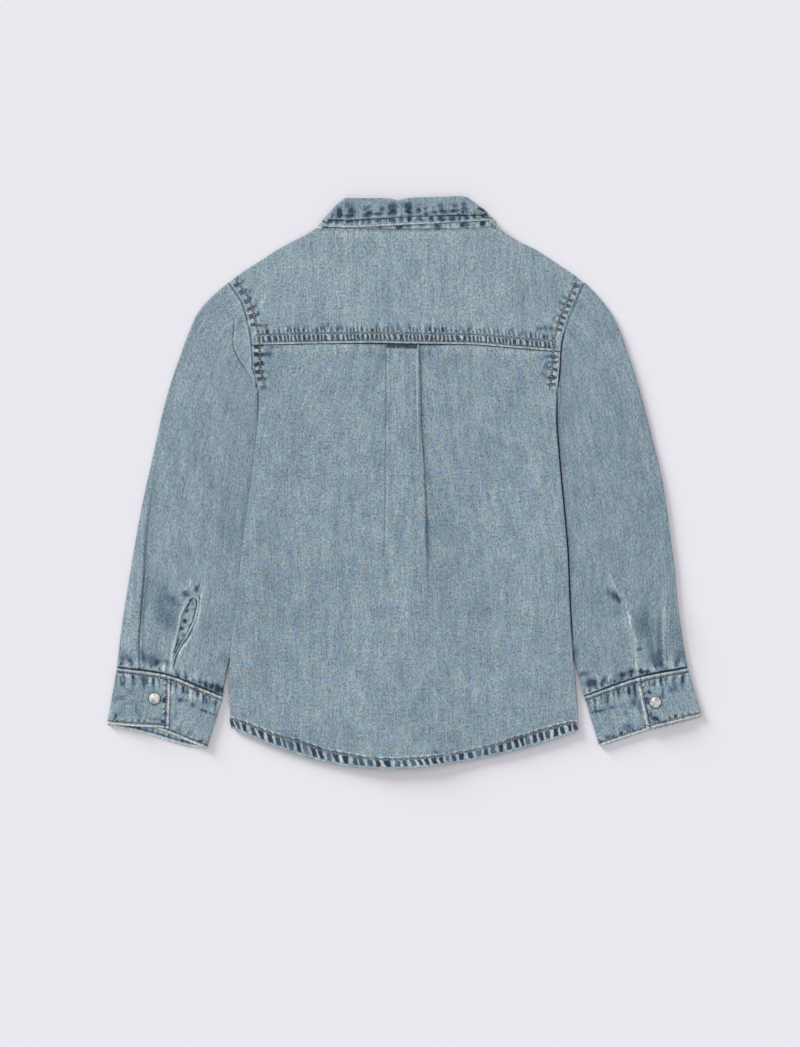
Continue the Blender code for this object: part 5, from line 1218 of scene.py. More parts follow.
# %% A sleeve as rings
def outline_pivot(curve, y, sign, reach):
    """Points at a distance inside an edge, and the edge's outward direction."""
    slope = slope_of(curve, y)
    out = unit(sign * np.stack([1 + 0 * slope, -slope], axis=-1))
    return np.stack([curve(y), y], axis=-1) - out * reach, out


def slit_lips(side):
    """Curves of the inner and the outer lip of a slit."""
    return [column(SLITS[side], lip) for lip in ("inner_lip", "outer_lip")]


def sleeve_grid(side, rings, panel_inner, panel_outer, fold_count, strip_count, turns, under):
    """Rings of the sleeve from the armhole to the cuff, and where the slit's cell lies.

    A ring runs over the upper wall from the inner fold, past the slit and through the pleat to
    the outer fold, and back along the floor.
    """
    sign = SIGN[side]
    t = np.asarray(rings)
    stations = np.linspace(0, 1, len(SLEEVE_RINGS))
    outer_y, inner_y = (smooth_curve(zip(stations, heights))(t) for heights in zip(*SLEEVE_RINGS))
    reach = PAIR / 2
    outer, outer_out = outline_pivot(silhouette[side], outer_y, sign, reach)
    inner, inner_out = outline_pivot(sleeve_inner[side], inner_y, -sign, reach)
    length = np.linalg.norm(outer - inner, axis=1)[:, None]
    bow = (CUFF_SEAM_BOW[side] * ramp((t - 0.72) / 0.28))[:, None]
    seam_lift = (SEAM_GAP * ramp((t - 0.9) / 0.1))[:, None]
    near_armhole = (np.clip(1 - t / 0.42, 0, 1) ** 2)[:, None]
    head_shift = armhole[side](outer[0, 1]) + sign * SEAM_GAP - outer[0, 0]
    outer[:, 0] += head_shift * near_armhole[:, 0]

    def place(s):
        """Plan position at a share of the way from the inner to the outer fold."""
        s = np.broadcast_to(s, (len(t), np.shape(s)[-1]))
        x = mix(inner[:, :1], outer[:, :1], s)
        y = mix(inner[:, 1:], outer[:, 1:], s)
        first_y = mix(inner[0, 1], outer[0, 1], s)
        first_x = mix(inner[0, 0], outer[0, 0], s)
        bulge = armhole[side](first_y) + sign * SEAM_GAP - first_x
        x = x + bulge * ramp(s / 0.1) * near_armhole
        return x, y + bow * np.sin(np.pi * np.clip(s, 0, 1)) + seam_lift

    edge, turn, hidden = fold_table(SLEEVE_PLEAT[side])(outer_y[:, None])
    fold_from = fold_start(length - (edge - reach), turn, hidden)
    run, rise = fold_path(np.linspace(0, 1, fold_count + 1)[None, :], turn, hidden)
    fold_s = (fold_from + run) / length
    lips = []
    for lip_x in slit_lips(side):
        s = np.full((len(t), 1), 0.5)
        for _ in range(4):
            y = place(s)[1]
            s = (lip_x(y) - inner[:, :1]) / (outer[:, :1] - inner[:, :1])
        beyond = y[:, 0] > SLITS[side][0].height
        s[beyond] = s[~beyond][0]
        lips.append(s)
    share_a = np.linspace(0, 1, panel_inner + 1)[None, :]
    share_b = np.linspace(0, 1, panel_outer + 1)[None, :-1]
    strip = np.linspace(0, 1, strip_count + 1)[None, 1:]
    s_top = np.concatenate([lips[0] * share_a, mix(lips[1], fold_s[:, :1], share_b), fold_s,
                            mix(fold_s[:, -1:], 1.0, strip)], axis=1)
    lift = np.concatenate([np.zeros((len(t), panel_inner + 1 + panel_outer)), rise,
                           rise[:, -1:] * (1 - strip)], axis=1)
    x, y = place(s_top)
    top = np.stack([x, y, sleeve_top(side, x, y) - CLOTH / 2 + lift], axis=-1)

    radius = (PAIR - CLOTH) / 2
    angles = np.asarray(turns)[None, :]

    def round_edge(pivot, out, angles):
        flat = pivot[:, None, :] + out[:, None, :] * (radius * np.cos(angles))[..., None]
        flat = flat + np.stack([0 * seam_lift, seam_lift], axis=-1)
        height = PAIR / 2 + radius * np.sin(angles) + np.zeros((len(t), 1))
        return np.concatenate([flat, height[..., None]], axis=2)

    s_low = np.linspace(1, 0, under)[None, :]
    x, y = place(s_low)
    low = np.stack([x, y, CLOTH / 2 + 0 * x], axis=-1)
    ring = np.concatenate([top, round_edge(outer, outer_out, angles), low,
                           round_edge(inner, inner_out, angles[:, ::-1])], axis=1)
    return ring, panel_inner


# %% Both sleeves
SLEEVE_DYE = {
    LEFT: (
        (-175.2, -88.4, 3.4, 2.4, 0.46, -35), (-166.4, -84.4, 1.9, 3.7, 0.38, -25),
        (-184, -93.6, 6.4, 4, 0.14, -30), (-191.2, -102, 9.6, 19.2, 0.18, 8),
        (-203.2, -141.6, 8, 4.5, 0.3), (-198.8, -144.8, 2.1, 3.5, 0.36, -20),
        (-192.4, -142.4, 2.4, 1.4, 0.3), (-189.9, -144, 1.2, 2.4, 0.44),
        (-209.6, -137.6, 2.1, 4.8, 0.24), (-223.6, -140, 5.6, 4, 0.26),
        (-221.6, -125.6, 4.8, 9.6, -0.06), (-220, -93.6, 4, 16, -0.08),
        (-157.6, -161.6, 4, 2.4, 0.42, -20), (-150, -164, 5.6, 3.4, 0.56, -22),
        (-145.6, -165.6, 2.1, 2.4, 0.3, -22), (-162, -159.8, 2.1, 1.4, 0.34),
        (-174.8, -155.2, 1.6, 1.3, 0.4), (-181.2, -154, 1.3, 3.5, 0.46, -24),
        (-168, -158.4, 2.4, 1.1, 0.3, -18), (-144, -140.8, 4, 6.4, 0.12),
        (-191.2, -146.4, 3.2, 4, -0.16), (-204, -149.2, 7.2, 1.4, -0.18, 6),
        (-222.4, -147.2, 7.2, 1.6, -0.12), (-184, -125.6, 1.4, 12.8, -0.18, -14),
        (-187.2, -137.6, 1.3, 9.6, -0.16, -6), (-179.2, -93.6, 1.1, 4, -0.16, 45),
        (-176.8, -84, 0.8, 4.8, -0.18, 40), (-170.8, -80.8, 0.7, 5.6, -0.2, 10),
        (-161.6, -87.2, 1, 7.2, -0.14, -20), (-164.4, -103.2, 0.8, 12.8, -0.12, -6),
        (-172, -125.6, 0.8, 11.2, -0.12, -34), (-191.2, -109.6, 8, 8, 0.06)),
    RIGHT: (
        (168.4, -90.4, 4.2, 3.6, 0.38, -38), (171.6, -94, 2.1, 2.4, 0.26, -40),
        (162.4, -87.2, 3.2, 2.4, 0.16, -20), (177.4, -101.2, 1, 1.6, 0.34),
        (180, -104, 1.6, 1.6, 0.16), (169.6, -103.2, 4.8, 5.6, 0.1),
        (191.6, -114, 7.6, 15, 0.19, 8), (187.2, -132.8, 2.7, 1.6, 0.34),
        (188.8, -150.7, 4, 1.4, 0.56, -8), (192.8, -151.2, 2.4, 1.1, 0.4, -14),
        (200, -138.4, 6.4, 5.6, 0.2), (201.6, -144.8, 4, 3.2, 0.26, -30),
        (204.8, -144.8, 1.4, 4, 0.34), (196, -129.6, 4, 3.2, 0.12),
        (142, -152.8, 4.8, 2.1, 0.34, 10), (149.6, -160, 5.6, 3.7, 0.5),
        (158.4, -159.2, 1.9, 4.3, 0.44, -20), (165.2, -158.4, 1.8, 2.9, 0.34),
        (173.6, -153.2, 6.4, 2.2, 0.34, 12), (170.4, -157.6, 4, 1.6, 0.3, 16),
        (181.2, -150.4, 2.9, 1.9, 0.46), (179.6, -154.4, 2.4, 1.3, 0.3, 16),
        (220, -137.6, 4.8, 4.8, 0.18), (135.2, -135.2, 3.2, 4.8, 0.18),
        (213.6, -125.6, 4.8, 9.6, 0.05), (165.2, -79, 2.4, 8, -0.17, 24),
        (172.4, -91, 1.8, 5, -0.26, 34), (178, -106, 2.6, 10, -0.2, 12),
        (181.6, -124, 2.7, 12, -0.2, 9), (184.4, -143, 2.4, 9.6, -0.24, 6),
        (155.2, -158.4, 0.9, 6.4, -0.22, 28), (162.4, -159.2, 1.1, 4, -0.16),
        (150.4, -166.4, 7.2, 1.4, -0.16, 18), (177.6, -159.2, 6.4, 1.1, -0.14, 22),
        (200, -148.8, 4.8, 1.3, -0.16, -24), (218.4, -147.2, 7.2, 1.3, -0.12, 14),
        (207.4, -118, 1.7, 25, -0.18), (203.4, -124, 2.4, 20, 0.18),
        (137.6, -149.6, 1.3, 11.2, -0.14, 26))}
# Painted shade and highlight along fine creases of the sleeves and beside the left slit's outer
# lip; below 0 the pale line lies on the crease.
FINE_CREASES = {
    LEFT: (
        (((-136, 134), (-137.6, 118), (-137.4, 109), (-134.6, 101.6), (-128.8, 92.4),
          (-121, 81)), 0.8),
        (((-164.4, -88), (-164.9, -99), (-168.4, -112), (-173.4, -123), (-179.6, -131.6),
          (-183.2, -140), (-185.4, -150)), 1.5),
        (((-180, -88), (-173.6, -83.6), (-170.6, -76)), -0.6),
        (((-164, -70), (-166.8, -84)), -0.5),
        (((-170.6, -89), (-176.4, -96), (-180.4, -108), (-182.8, -122), (-186, -135),
          (-187.4, -149)), -0.6),
        (((-206, -62), (-208.6, -90), (-210.8, -115), (-211.6, -146)), -0.7)),
    RIGHT: (
        (((162, -66), (165, -76), (169.2, -86), (173.6, -93)), -0.4),
        (((175.4, -95), (178.8, -108), (181.4, -126), (184.6, -150)), -0.22),
        (((210.1, -86), (206.8, -104), (206.6, -126.4), (208.3, -147.2)), -0.32),
        (((130.4, -134), (134.4, -148), (141.6, -166)), -0.35))}

# Strength of the painted shadow line on each sleeve beside the body's edge.
GAP_SHADOW_STRENGTH = {LEFT: 0.0, RIGHT: 1.0}    # only the right sleeve's edge stands off the body
TUCK, TUCK_MIDDLE, TUCK_REACH = 2.2, 47.0, 21.0
CORNER_REACH = 4.4       # how far the sleeve's corner reaches up under the back
CORNER_WIDTH, CORNER_LENGTH = 2.4, 14.0
SLEEVE_WASH = {LEFT: 0.635, RIGHT: 0.605}


def tucked(side):
    """The sleeve's inner fold, which goes a little further under the body near the underarm."""
    loose = sleeve_inner[side]
    return lambda y: loose(y) - SIGN[side] * TUCK * np.exp(-((y - TUCK_MIDDLE) / TUCK_REACH) ** 4)


sleeve_inner.update({side: tucked(side) for side in SIDES})
for side in SIDES:
    rings = graded(((0.05, 9), (0.72, 62), (1.0, 58)))
    grid, slit = sleeve_grid(side, rings, 56, 24, 20, 10, FOLD_ANGLES, 60)
    from_fold = SIGN[side] * grid[..., 0]
    from_fold -= from_fold.min(1, keepdims=True)
    corner = np.exp(-(from_fold / CORNER_WIDTH) ** 2) * (1 - ramp(along(grid, 0) / CORNER_LENGTH))
    grid[..., 1] += CORNER_REACH * corner
    x, y, z = grid[..., 0], grid[..., 1], grid[..., 2]
    keep = np.ones((grid.shape[0] - 1, grid.shape[1]), bool)
    if SLIT_OPEN[side]:
        middle = (y[1:, slit] + y[:-1, slit]) / 2
        keep[:, slit] = (middle < SLIT_OPEN[side][0]) | (middle > SLIT_OPEN[side][1])
    down, round_it = along(grid, 0), along(grid, 1)
    to_cuff = down[-1:] - down
    upper = ramp((z - 1.4) / 1.2)
    to_body = SIGN[side] * (x - body_edge(side, y))
    # Painted shadow line on the sleeve's upper wall just outside the body's edge, from below the
    # armhole down towards the cuff.
    gap_shadow = GAP_SHADOW_STRENGTH[side] * ramp((125 - y) / 20) * ramp((y + 150) / 60) * upper
    sleeve_seams = (seam(SLEEVE_HEAD, x + y, down, 0.9, 10.0),
                    seam(GAP_SHADOW, y, to_body, gap_shadow, 10.5),
                    seam(GATHERED, round_it, to_cuff, upper, 11.0),
                    creases(x, y, FINE_CREASES[side]))
    sleeve_seams[3].marks[..., 2] *= upper
    relief = ripples(sleeve_seams[2], 0.55, -0.2, 2.0) + upper * soft_waves(x, y, 0.3, 3.0) * ramp(
        to_cuff / 20) * ramp(down / 20)
    relief += 0.7 * (1 - ramp(down / 8.0))
    make_cloth(f"sleeve_tube_{side}", grid, [f"sleeve_{side}"], out=-SIGN[side],
               relief=relief * upper, ring=True, keep=keep, seams=sleeve_seams,
               stain=patches(x, y, SLEEVE_DYE[side], force=1.25) * upper,
               grain=(0.5 + SIGN[side] * 0.2, 0.8), wash=SLEEVE_WASH[side])

# %% [markdown]
# ## The binding of the slits
#
# A strip of cloth is folded over the raw edge of each slit and stitched. On the open slit it
# runs up one lip, round the top and down the other.

# %% The path of the binding
CLOSED_BINDING = (-153.0, -92.0)    # heights of its two ends


def binding_path(side, count):
    """Middle line of the cloth that binds the slit: round an open slit, or along a closed one."""
    inner, outer = slit_lips(side)
    if not SLIT_OPEN[side]:
        y = np.linspace(*CLOSED_BINDING, count)
        return np.stack([(inner(y) + outer(y)) / 2, y], axis=-1)
    low, high = SLIT_OPEN[side]
    shift = SIGN[side] * BINDING_OUTSET
    y = np.linspace(low + 1.0, high - 3.0, count)
    up = np.stack([inner(y) - shift, y], axis=-1)
    down = np.stack([outer(y) + shift, y], axis=-1)[::-1]
    middle = (up[-1] + down[0]) / 2
    half = np.linalg.norm(up[-1] - down[0]) / 2
    angles = np.radians([30.0, 90.0, 150.0])
    apex = middle + half * np.stack([-SIGN[side] * np.cos(angles), 0.9 * np.sin(angles)], axis=-1)
    return np.concatenate([up, apex, down])


# %% The lips, and the facing inside the open slit
LIP_WIDTH = {LEFT: 1.7, RIGHT: 1.5}
LIP_WASH = {LEFT: 0.88, RIGHT: 0.76}


def lip_grid(side, count, columns):
    """A narrow rolled strip along the path that the binding's middle takes."""
    path = binding_path(side, count)
    step = unit(np.gradient(path, axis=0))
    across = np.stack([step[:, 1], -step[:, 0]], axis=-1)
    inward = (BINDING_OUTSET - 0.6) * bool(SLIT_OPEN[side])
    share = np.linspace(-0.5, 0.5, columns)
    ends = np.linspace(0, 1, len(path))[:, None]
    width = LIP_WIDTH[side] * (0.25 + 0.75 * np.minimum(ramp(ends / 0.3), ramp((1 - ends) / 0.3)))
    plan = path[:, None, :] + across[:, None, :] * (share * width - inward)[..., None]
    level = sleeve_top(side, plan[..., 0], plan[..., 1])
    level = level - 0.15 + 0.2 * (1 - (2 * share) ** 2)
    return np.concatenate([plan, level[..., None]], axis=2)


def facing_grid(side, rows, columns):
    """The cloth that shows inside the open slit, from under one lip to the other."""
    inner, outer = slit_lips(side)
    low, high = SLIT_OPEN[side]
    y = np.linspace(low - 3.0, high + 1.5, rows)[:, None]
    x = mix(outer(y) + SIGN[side] * 1.6, inner(y) - SIGN[side] * 0.6,
            np.linspace(0, 1, columns)[None, :])
    y = y + 0 * x
    return np.stack([x, y, sleeve_top(side, x, y) - CLOTH - 0.55], axis=-1)


# Painted shade under the outer lip and in the top of the opening, with darker patches of dye.
FACING_SHADE_AND_DYE = (
    (-172, -92, 2.7, 3.2, 0.6), (-174.1, -98, 2.4, 1.3, 0.7, 40), (-174.2, -102.1, 1.7, 1.5, 0.66),
    (-175.8, -110.4, 2.1, 2.1, 0.74), (-178.4, -116.3, 2, 1.8, 0.7),
    (-169.6, -96.4, 1.1, 1.6, 0.4), (-181.2, -125.6, 1.8, 1.8, 0.5),
    (-183.4, -130.4, 1.3, 4, 0.5, -20))
for side in SIDES:
    grid = lip_grid(side, 60, 7)
    make_cloth(f"slit_band_{side}", grid, [f"slit_binding_{side}"], out=1,
               wall=0.5, grain=(0.15, 0.55), wash=LIP_WASH[side])
    if SLIT_OPEN[side]:
        grid = facing_grid(side, 50, 14)
        across = along(grid, 1)
        make_cloth(f"slit_facing_{side}", grid, [], out=-SIGN[side],
                   seams=(seam(FACING, along(grid, 0), across[:, -1:] - across, 1.0, 12.5),),
                   stain=patches(grid[..., 0], grid[..., 1], FACING_SHADE_AND_DYE, 2.2),
                   grain=(0.6, 0.35), wash=0.76)

# %% [markdown]
# ## The cuffs
#
# A cuff is one band of doubled cloth. Pressed flat it is a flat spiral: the end with the snap
# lies on top, the band goes round the outer fold, along the floor, round the inner fold and
# under its own beginning.

# %% Both cuffs
def cuff_edge(side, name):
    """One edge of the cuff: points in plan by share of its width."""
    curves = [smooth_curve([(row.share, getattr(row, name)[k]) for row in CUFFS[side]])
              for k in (0, 1)]
    return lambda share: np.stack([curve(share) for curve in curves], axis=-1)


def cuff_grid(side, rows, over_count, far_count, under_count, turns):
    """The cuff as one band: overlap, round the outer fold, far layer, inner fold, underlap."""
    seam, over_hem, under_hem, far_hem = (cuff_edge(side, name) for name in Cuff._fields[1:])
    width = np.linalg.norm(seam(1.0) - seam(0.0))
    far, under, over = (CUFF_LAYERS[name] for name in ("far", "under", "over"))
    radius, middle = (under - far) / 2, (under + far) / 2
    inset = (radius + CUFF_WALL / 2) / width
    angles = np.asarray(turns)
    stretches = []
    w = np.linspace(OVERLAP_END, inset, over_count)
    stretches.append((w, mix(under, over, ramp((w - 0.05) / 0.15)), over_hem(w)))
    w = inset - radius * np.cos(angles) / width
    blend = (1 - np.sin(angles)[:, None]) / 2
    stretches.append((w, middle + radius * np.sin(angles),
                      mix(over_hem(w), far_hem(w), blend)))
    w = np.linspace(inset, 1 - inset, far_count)
    stretches.append((w, far + 0 * w, far_hem(w)))
    w = 1 - inset + radius * np.cos(angles) / width
    stretches.append((w, middle - radius * np.sin(angles),
                      mix(far_hem(w), under_hem(w), blend)))
    w = np.linspace(1 - inset, UNDERLAP_END, under_count)
    stretches.append((w, under + 0 * w, under_hem(w)))
    share = np.concatenate([s[0] for s in stretches])
    level = np.concatenate([s[1] for s in stretches])
    hem_line = np.concatenate([s[2] for s in stretches])
    within = np.clip(share, 0, 1)
    top = seam(within) + (share - within)[:, None] * (seam(1.0) - seam(0.0))
    plan = mix(top[None], hem_line[None], np.asarray(rows)[:, None, None])
    return np.concatenate([plan, np.broadcast_to(level, plan.shape[:2])[..., None]], axis=2)


CUFF_DYE = {
    LEFT: (
        (-227.2, -156, 1.3, 2.7, 0.42), (-225.6, -160.4, 2.4, 2.4, 0.34),
        (-217.6, -158.4, 1.3, 6.4, 0.3), (-212.8, -157.6, 1, 4, 0.22),
        (-208, -158.4, 1.6, 4.8, 0.42), (-201.2, -160.8, 1.2, 5.6, 0.32),
        (-220, -167.2, 2.4, 3.2, 0.16), (-231.2, -186.8, 1.2, 3.2, 0.4),
        (-212, -186.4, 1.5, 4, 0.24), (-214.8, -180, 1, 4.8, 0.2),
        (-191.8, -173.3, 1.8, 2.4, 0.56), (-191.2, -184.8, 3.2, 1.3, 0.42),
        (-193.6, -190.4, 2.9, 1.4, 0.44, -30), (-200, -188.8, 4, 1.3, 0.24),
        (-228, -172, 7.2, 2.1, 0.16, 14), (-219.2, -175.2, 6.4, 1.6, 0.12, 10),
        (-224, -183.2, 4, 4.8, 0.08), (-176, -166, 2.2, 4, 0.42, 10),
        (-180, -173.2, 3.2, 2.1, 0.36), (-175.2, -174, 2.4, 1.6, 0.3),
        (-166.6, -164.8, 1.8, 4.8, 0.44, 10), (-169.6, -177.6, 1.9, 2.4, 0.4),
        (-159.2, -173.6, 1.9, 4.8, 0.44, 6), (-152.8, -176, 2.1, 3.2, 0.28),
        (-183.6, -162.4, 1.1, 4.8, 0.5), (-156.8, -183.6, 6.4, 1.2, 0.34, -22),
        (-161.6, -181.6, 2.4, 1.3, 0.2, -20), (-180.8, -196.8, 1.6, 2.4, 0.26),
        (-172, -200, 2.1, 1.9, 0.3), (-164, -206.1, 2.4, 1.4, 0.34, -10),
        (-159.2, -208.8, 1.6, 1.6, 0.3), (-183.2, -183.2, 1.2, 6.4, 0.14),
        (-171.2, -170.4, 1, 6.4, -0.14, 8), (-163.2, -170.4, 1, 7.2, -0.14, 8),
        (-223.2, -156.8, 0.8, 6.4, -0.14), (-204.4, -159.2, 0.9, 6.4, -0.14)),
    RIGHT: (
        (160.4, -173.6, 1.3, 5.1, 0.34, 4), (170.4, -166.4, 2.1, 5.1, 0.46, 8),
        (179.2, -166.8, 1.9, 4.5, 0.44, 8), (183.2, -165.6, 1.8, 5.9, 0.46, 14),
        (182.4, -176, 2.6, 4.3, 0.4), (187.6, -180, 1.6, 7.2, 0.3, 10),
        (154.4, -182.4, 6.9, 1.2, 0.4, 12), (165.6, -179.5, 4, 1.2, 0.26, 10),
        (173.6, -177.6, 2.7, 1.3, 0.24), (176.8, -184, 1.4, 2.4, 0.24),
        (178.1, -195.2, 4, 3.5, 0.32), (163.7, -202.4, 2.9, 1.6, 0.4),
        (156, -206.4, 2.1, 1.8, 0.4), (172.5, -200, 1.6, 1.8, 0.4), (154.4, -196, 2.4, 2.4, 0.14),
        (188, -195.2, 2.4, 3.2, 0.14), (194.8, -167.2, 2.7, 1.6, 0.48, -24),
        (192.8, -172.5, 2.4, 1.5, 0.54), (197.6, -160.8, 1.6, 1.5, 0.34),
        (204.4, -156.8, 1.4, 3.2, 0.42), (206, -164.8, 1.2, 5.6, 0.28),
        (205.2, -170.4, 2.1, 2.4, 0.3), (213.6, -164.5, 4, 4, 0.26),
        (221.3, -157.6, 1.4, 7.2, 0.3), (196, -184.8, 1.8, 1.9, 0.44),
        (200, -188.8, 3.8, 2.1, 0.5, -10), (206.8, -191.2, 2.4, 1.3, 0.34),
        (216, -186.4, 1, 2.1, 0.26), (222.4, -186.4, 1, 2.1, 0.26), (211.2, -188.8, 1, 1.6, 0.3),
        (210.4, -156, 1, 5.6, -0.14, -30), (200, -178.4, 1.1, 6.4, -0.12, -16),
        (165.6, -171.2, 1, 5.6, -0.16, 6), (175.2, -170.4, 1, 5.6, -0.16, 8))}

CUFF_WASH = {LEFT: 0.65, RIGHT: 0.64}
for side in SIDES:
    rows = graded(((0.14, 9), (0.86, 26), (1.0, 9)))
    grid = cuff_grid(side, rows, 76, 70, 50, FOLD_ANGLES)
    x, y, z = grid[..., 0], grid[..., 1], grid[..., 2]
    length, down = along(grid, 1), along(grid, 0)
    cuff_seams = (seam(CUFF_TOP, length, down, 1.0, 13.0, 0.15),
                  seam(CUFF_EDGE, down, length, 1.0, 14.0),
                  seam(CUFF_EDGE, length, down[-1:] - down, 1.0, 15.0, 0.3))
    upper = ramp((z - 2.0) / 0.8)
    relief = (ripples(cuff_seams[0], 0.12) + ripples(cuff_seams[2], 0.10)) * upper
    relief += 0.12 * upper * np.exp(-(cuff_seams[2].marks[..., 1] / 0.3) ** 2)
    make_cloth(f"cuff_band_{side}", grid, [f"cuff_{side}"], out=-SIGN[side],
               wall=1.2, relief=relief, seams=cuff_seams,
               stain=patches(x, y, CUFF_DYE[side], force=1.3) * upper,
               grain=(0.4, 0.7 + SIGN[side]), wash=CUFF_WASH[side], tint=1.8)

# %% [markdown]
# ## The snaps
#
# A pearl snap is a domed cap held in a thin metal ring. Both are turned shapes: a profile taken
# round an axis. The caps of the front closure face the floor, so theirs are flat.

# %% Turned caps and rings
SNAP_SEGMENTS = 56
RING = ((4.65, 0.0), (5.05, 0.0), (5.1, 0.25), (5.08, 0.5), (5.0, 0.72), (4.88, 0.8),
        (4.74, 0.72), (4.68, 0.5))
PEARL_CAP = ((0.0, 2.05), (0.9, 2.03), (1.8, 1.93), (2.7, 1.74), (3.5, 1.45), (4.1, 1.1),
             (4.5, 0.76), (4.64, 0.45), (4.6, 0.1), (0.0, 0.1))
FLAT_PEARL = ((0.0, 1.12), (3.4, 1.12), (4.0, 1.04), (4.22, 0.8), (4.2, 0.3), (0.0, 0.3))
FLAT_RING = tuple((radius, height + 0.25) for radius, height in RING)


def turned(name, centre, base, profile, up, closed):
    """A profile of (radius, height) turned round the vertical; closed profiles make a ring."""
    angles = 2 * np.pi * np.arange(SNAP_SEGMENTS) / SNAP_SEGMENTS
    profile = profile if up > 0 else profile[::-1]
    rows = profile if closed else profile[1:-1]
    points = [(centre[0] + r * math.cos(a), centre[1] + r * math.sin(a), base + up * h)
              for r, h in rows for a in angles]
    faces = []
    count = len(rows)
    for k in range(SNAP_SEGMENTS):
        n = (k + 1) % SNAP_SEGMENTS
        for r in range(count if closed else count - 1):
            s = (r + 1) % count
            faces.append((r * SNAP_SEGMENTS + k, s * SNAP_SEGMENTS + k, s * SNAP_SEGMENTS + n,
                          r * SNAP_SEGMENTS + n))
        if not closed:
            faces.append((count * SNAP_SEGMENTS, k, n))
            faces.append(((count - 1) * SNAP_SEGMENTS + k, count * SNAP_SEGMENTS + 1,
                          (count - 1) * SNAP_SEGMENTS + n))
    if not closed:
        points += [(centre[0], centre[1], base + up * profile[0][1]),
                   (centre[0], centre[1], base + up * profile[-1][1])]
    return add_piece(name, np.array(points), faces)


SNAP_SINK = 0.3          # how deep a cap is pressed into the cuff
FLOOR_SNAP_BASE = 1.4    # where the caps that face the floor start
snap_base = CUFF_LAYERS["over"] + CUFF_WALL / 2 + SEAM_GAP - SNAP_SINK
snaps = [(f"cuff_snap_{side}", CUFF_SNAPS[side], snap_base, 1) for side in SIDES]
snaps += [(f"front_snap_{k + 1}", (0.0, height), FLOOR_SNAP_BASE, -1)
          for k, height in enumerate(FRONT_SNAP_HEIGHTS)]
snaps.append(("collar_snap", (0.0, COLLAR_SNAP_HEIGHT), FLOOR_SNAP_BASE, -1))
for node, centre, base, up in snaps:
    cap = turned(f"{node}_pearl", centre, base, PEARL_CAP if up > 0 else FLAT_PEARL, up, False)
    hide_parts(node)
    turned(f"{node}_ring", centre, base, RING if up > 0 else FLAT_RING, up, True)
print("snaps:", len(snaps))

# %% [markdown]
# ## Stitches
#
# A row of stitches repeats one small thing along a path, which is what Geometry Nodes are for.
# Each row is a line of points laid on the finished cloth by casting rays at it. The tree turns
# the lines into curves, sets a stitch at every step along them, turned with the curve, and makes
# each one a little different. Realize Instances turns the result into a plain mesh.

# %% Lay lines on the cloth
def cloth_surface():
    points, faces, start = [], [], 0
    for piece in pieces.values():
        mesh = piece.data
        co = np.empty(len(mesh.vertices) * 3, np.float32)
        mesh.vertices.foreach_get("co", co)
        points.append(co.reshape(-1, 3))
        faces += [[start + k for k in p.vertices] for p in mesh.polygons]
        start += len(mesh.vertices)
    return BVHTree.FromPolygons(np.concatenate(points).tolist(), faces)


surface = cloth_surface()


def laid(plan, above=True):
    """Points of a line in plan, set on the cloth as seen from above or from below."""
    start, way = (0.05, -1.0) if above else (-0.05, 1.0)
    line = []
    for x, y in plan:
        hit = surface.ray_cast(Vector(((x - CENTRE[0]) * MM, (y - CENTRE[1]) * MM, start)),
                               Vector((0.0, 0.0, way)))[0]
        if hit is not None:
            line.append(hit - Vector((0.0, 0.0, way)) * 0.00012)
    return line


# %% The rows of stitches
def row(first, last, count, place):
    """Plan points (x, y) of a row; place gives them for numbers from first to last."""
    return [tuple(float(a) for a in place(t)) for t in np.linspace(first, last, count)]


def cuff_line(side, share, level):
    """A point of the cuff's shown face, at a share of its width and of its depth."""
    hem_name = "over_hem" if share < OVERLAP_END else "under_hem"
    return mix(cuff_edge(side, "seam")(share), cuff_edge(side, hem_name)(share), level)


OCHRE, FADED = "ochre thread", "faded thread"
CUFF_ROWS = {OCHRE: 0.055, FADED: 0.93}    # how far down the cuff each row runs
CUFF_SPANS = ((0.012, OVERLAP_END - 0.02), (OVERLAP_END + 0.03, 0.985))
rows_above, rows_below = {OCHRE: [], FADED: []}, {FADED: []}
for share, _, _ in BARS.rows:
    rows_above[OCHRE].append(row(
        -119.0, 121.0, 160, lambda x: (x, yoke_seam(x) + share * BARS.stitched)))


def beside_armhole(side, y, away):
    slope = slope_of(armhole[side], y)
    return armhole[side](y) - SIGN[side] * away * math.sqrt(1 + slope ** 2), y


for side in SIDES:
    for away in (-0.35, 0.45):
        rows_above[OCHRE].append(row(158.0, 76.0, 60, lambda y: beside_armhole(
            side, y, ARMHOLE_MARKS.stitched + away)))
    for key, level in CUFF_ROWS.items():
        rows_above[key] += [row(first, last, 50, lambda share: cuff_line(side, share, level))
                            for first, last in CUFF_SPANS]
    rows_above[OCHRE].append(row(
        0.04, 0.93, 30, lambda level: cuff_line(side, OVERLAP_END - 0.024, level)))
    rows_below[FADED].append(row(
        -205.0, 144.0, 120, lambda y: (SIGN[side] * (PLACKET_HALF - 2.4), y)))
rows_above[FADED].append(row(-138.6, 137.4, 160, lambda x: (x, hem(x) + hem_depth(x))))
rows_above[FADED].append(row(-62.0, 65.0, 100, lambda x: (
    x, fall_edge(x) + edge_lift(x) + COLLAR_MARKS.stitched)))
rows_above[FADED].append(row(-62.0, 65.0, 100, lambda x: (
    x, STAND_FOOT.height - NECK_BACK_DIP * (1 - (x / 68.0) ** 2) + 0.9)))

# %% One stitch after another, with Geometry Nodes
STITCH = {"Pitch": 2.2 * MM, "Length": 1.75 * MM, "Thickness": 1.0 * MM, "Seed": 4}


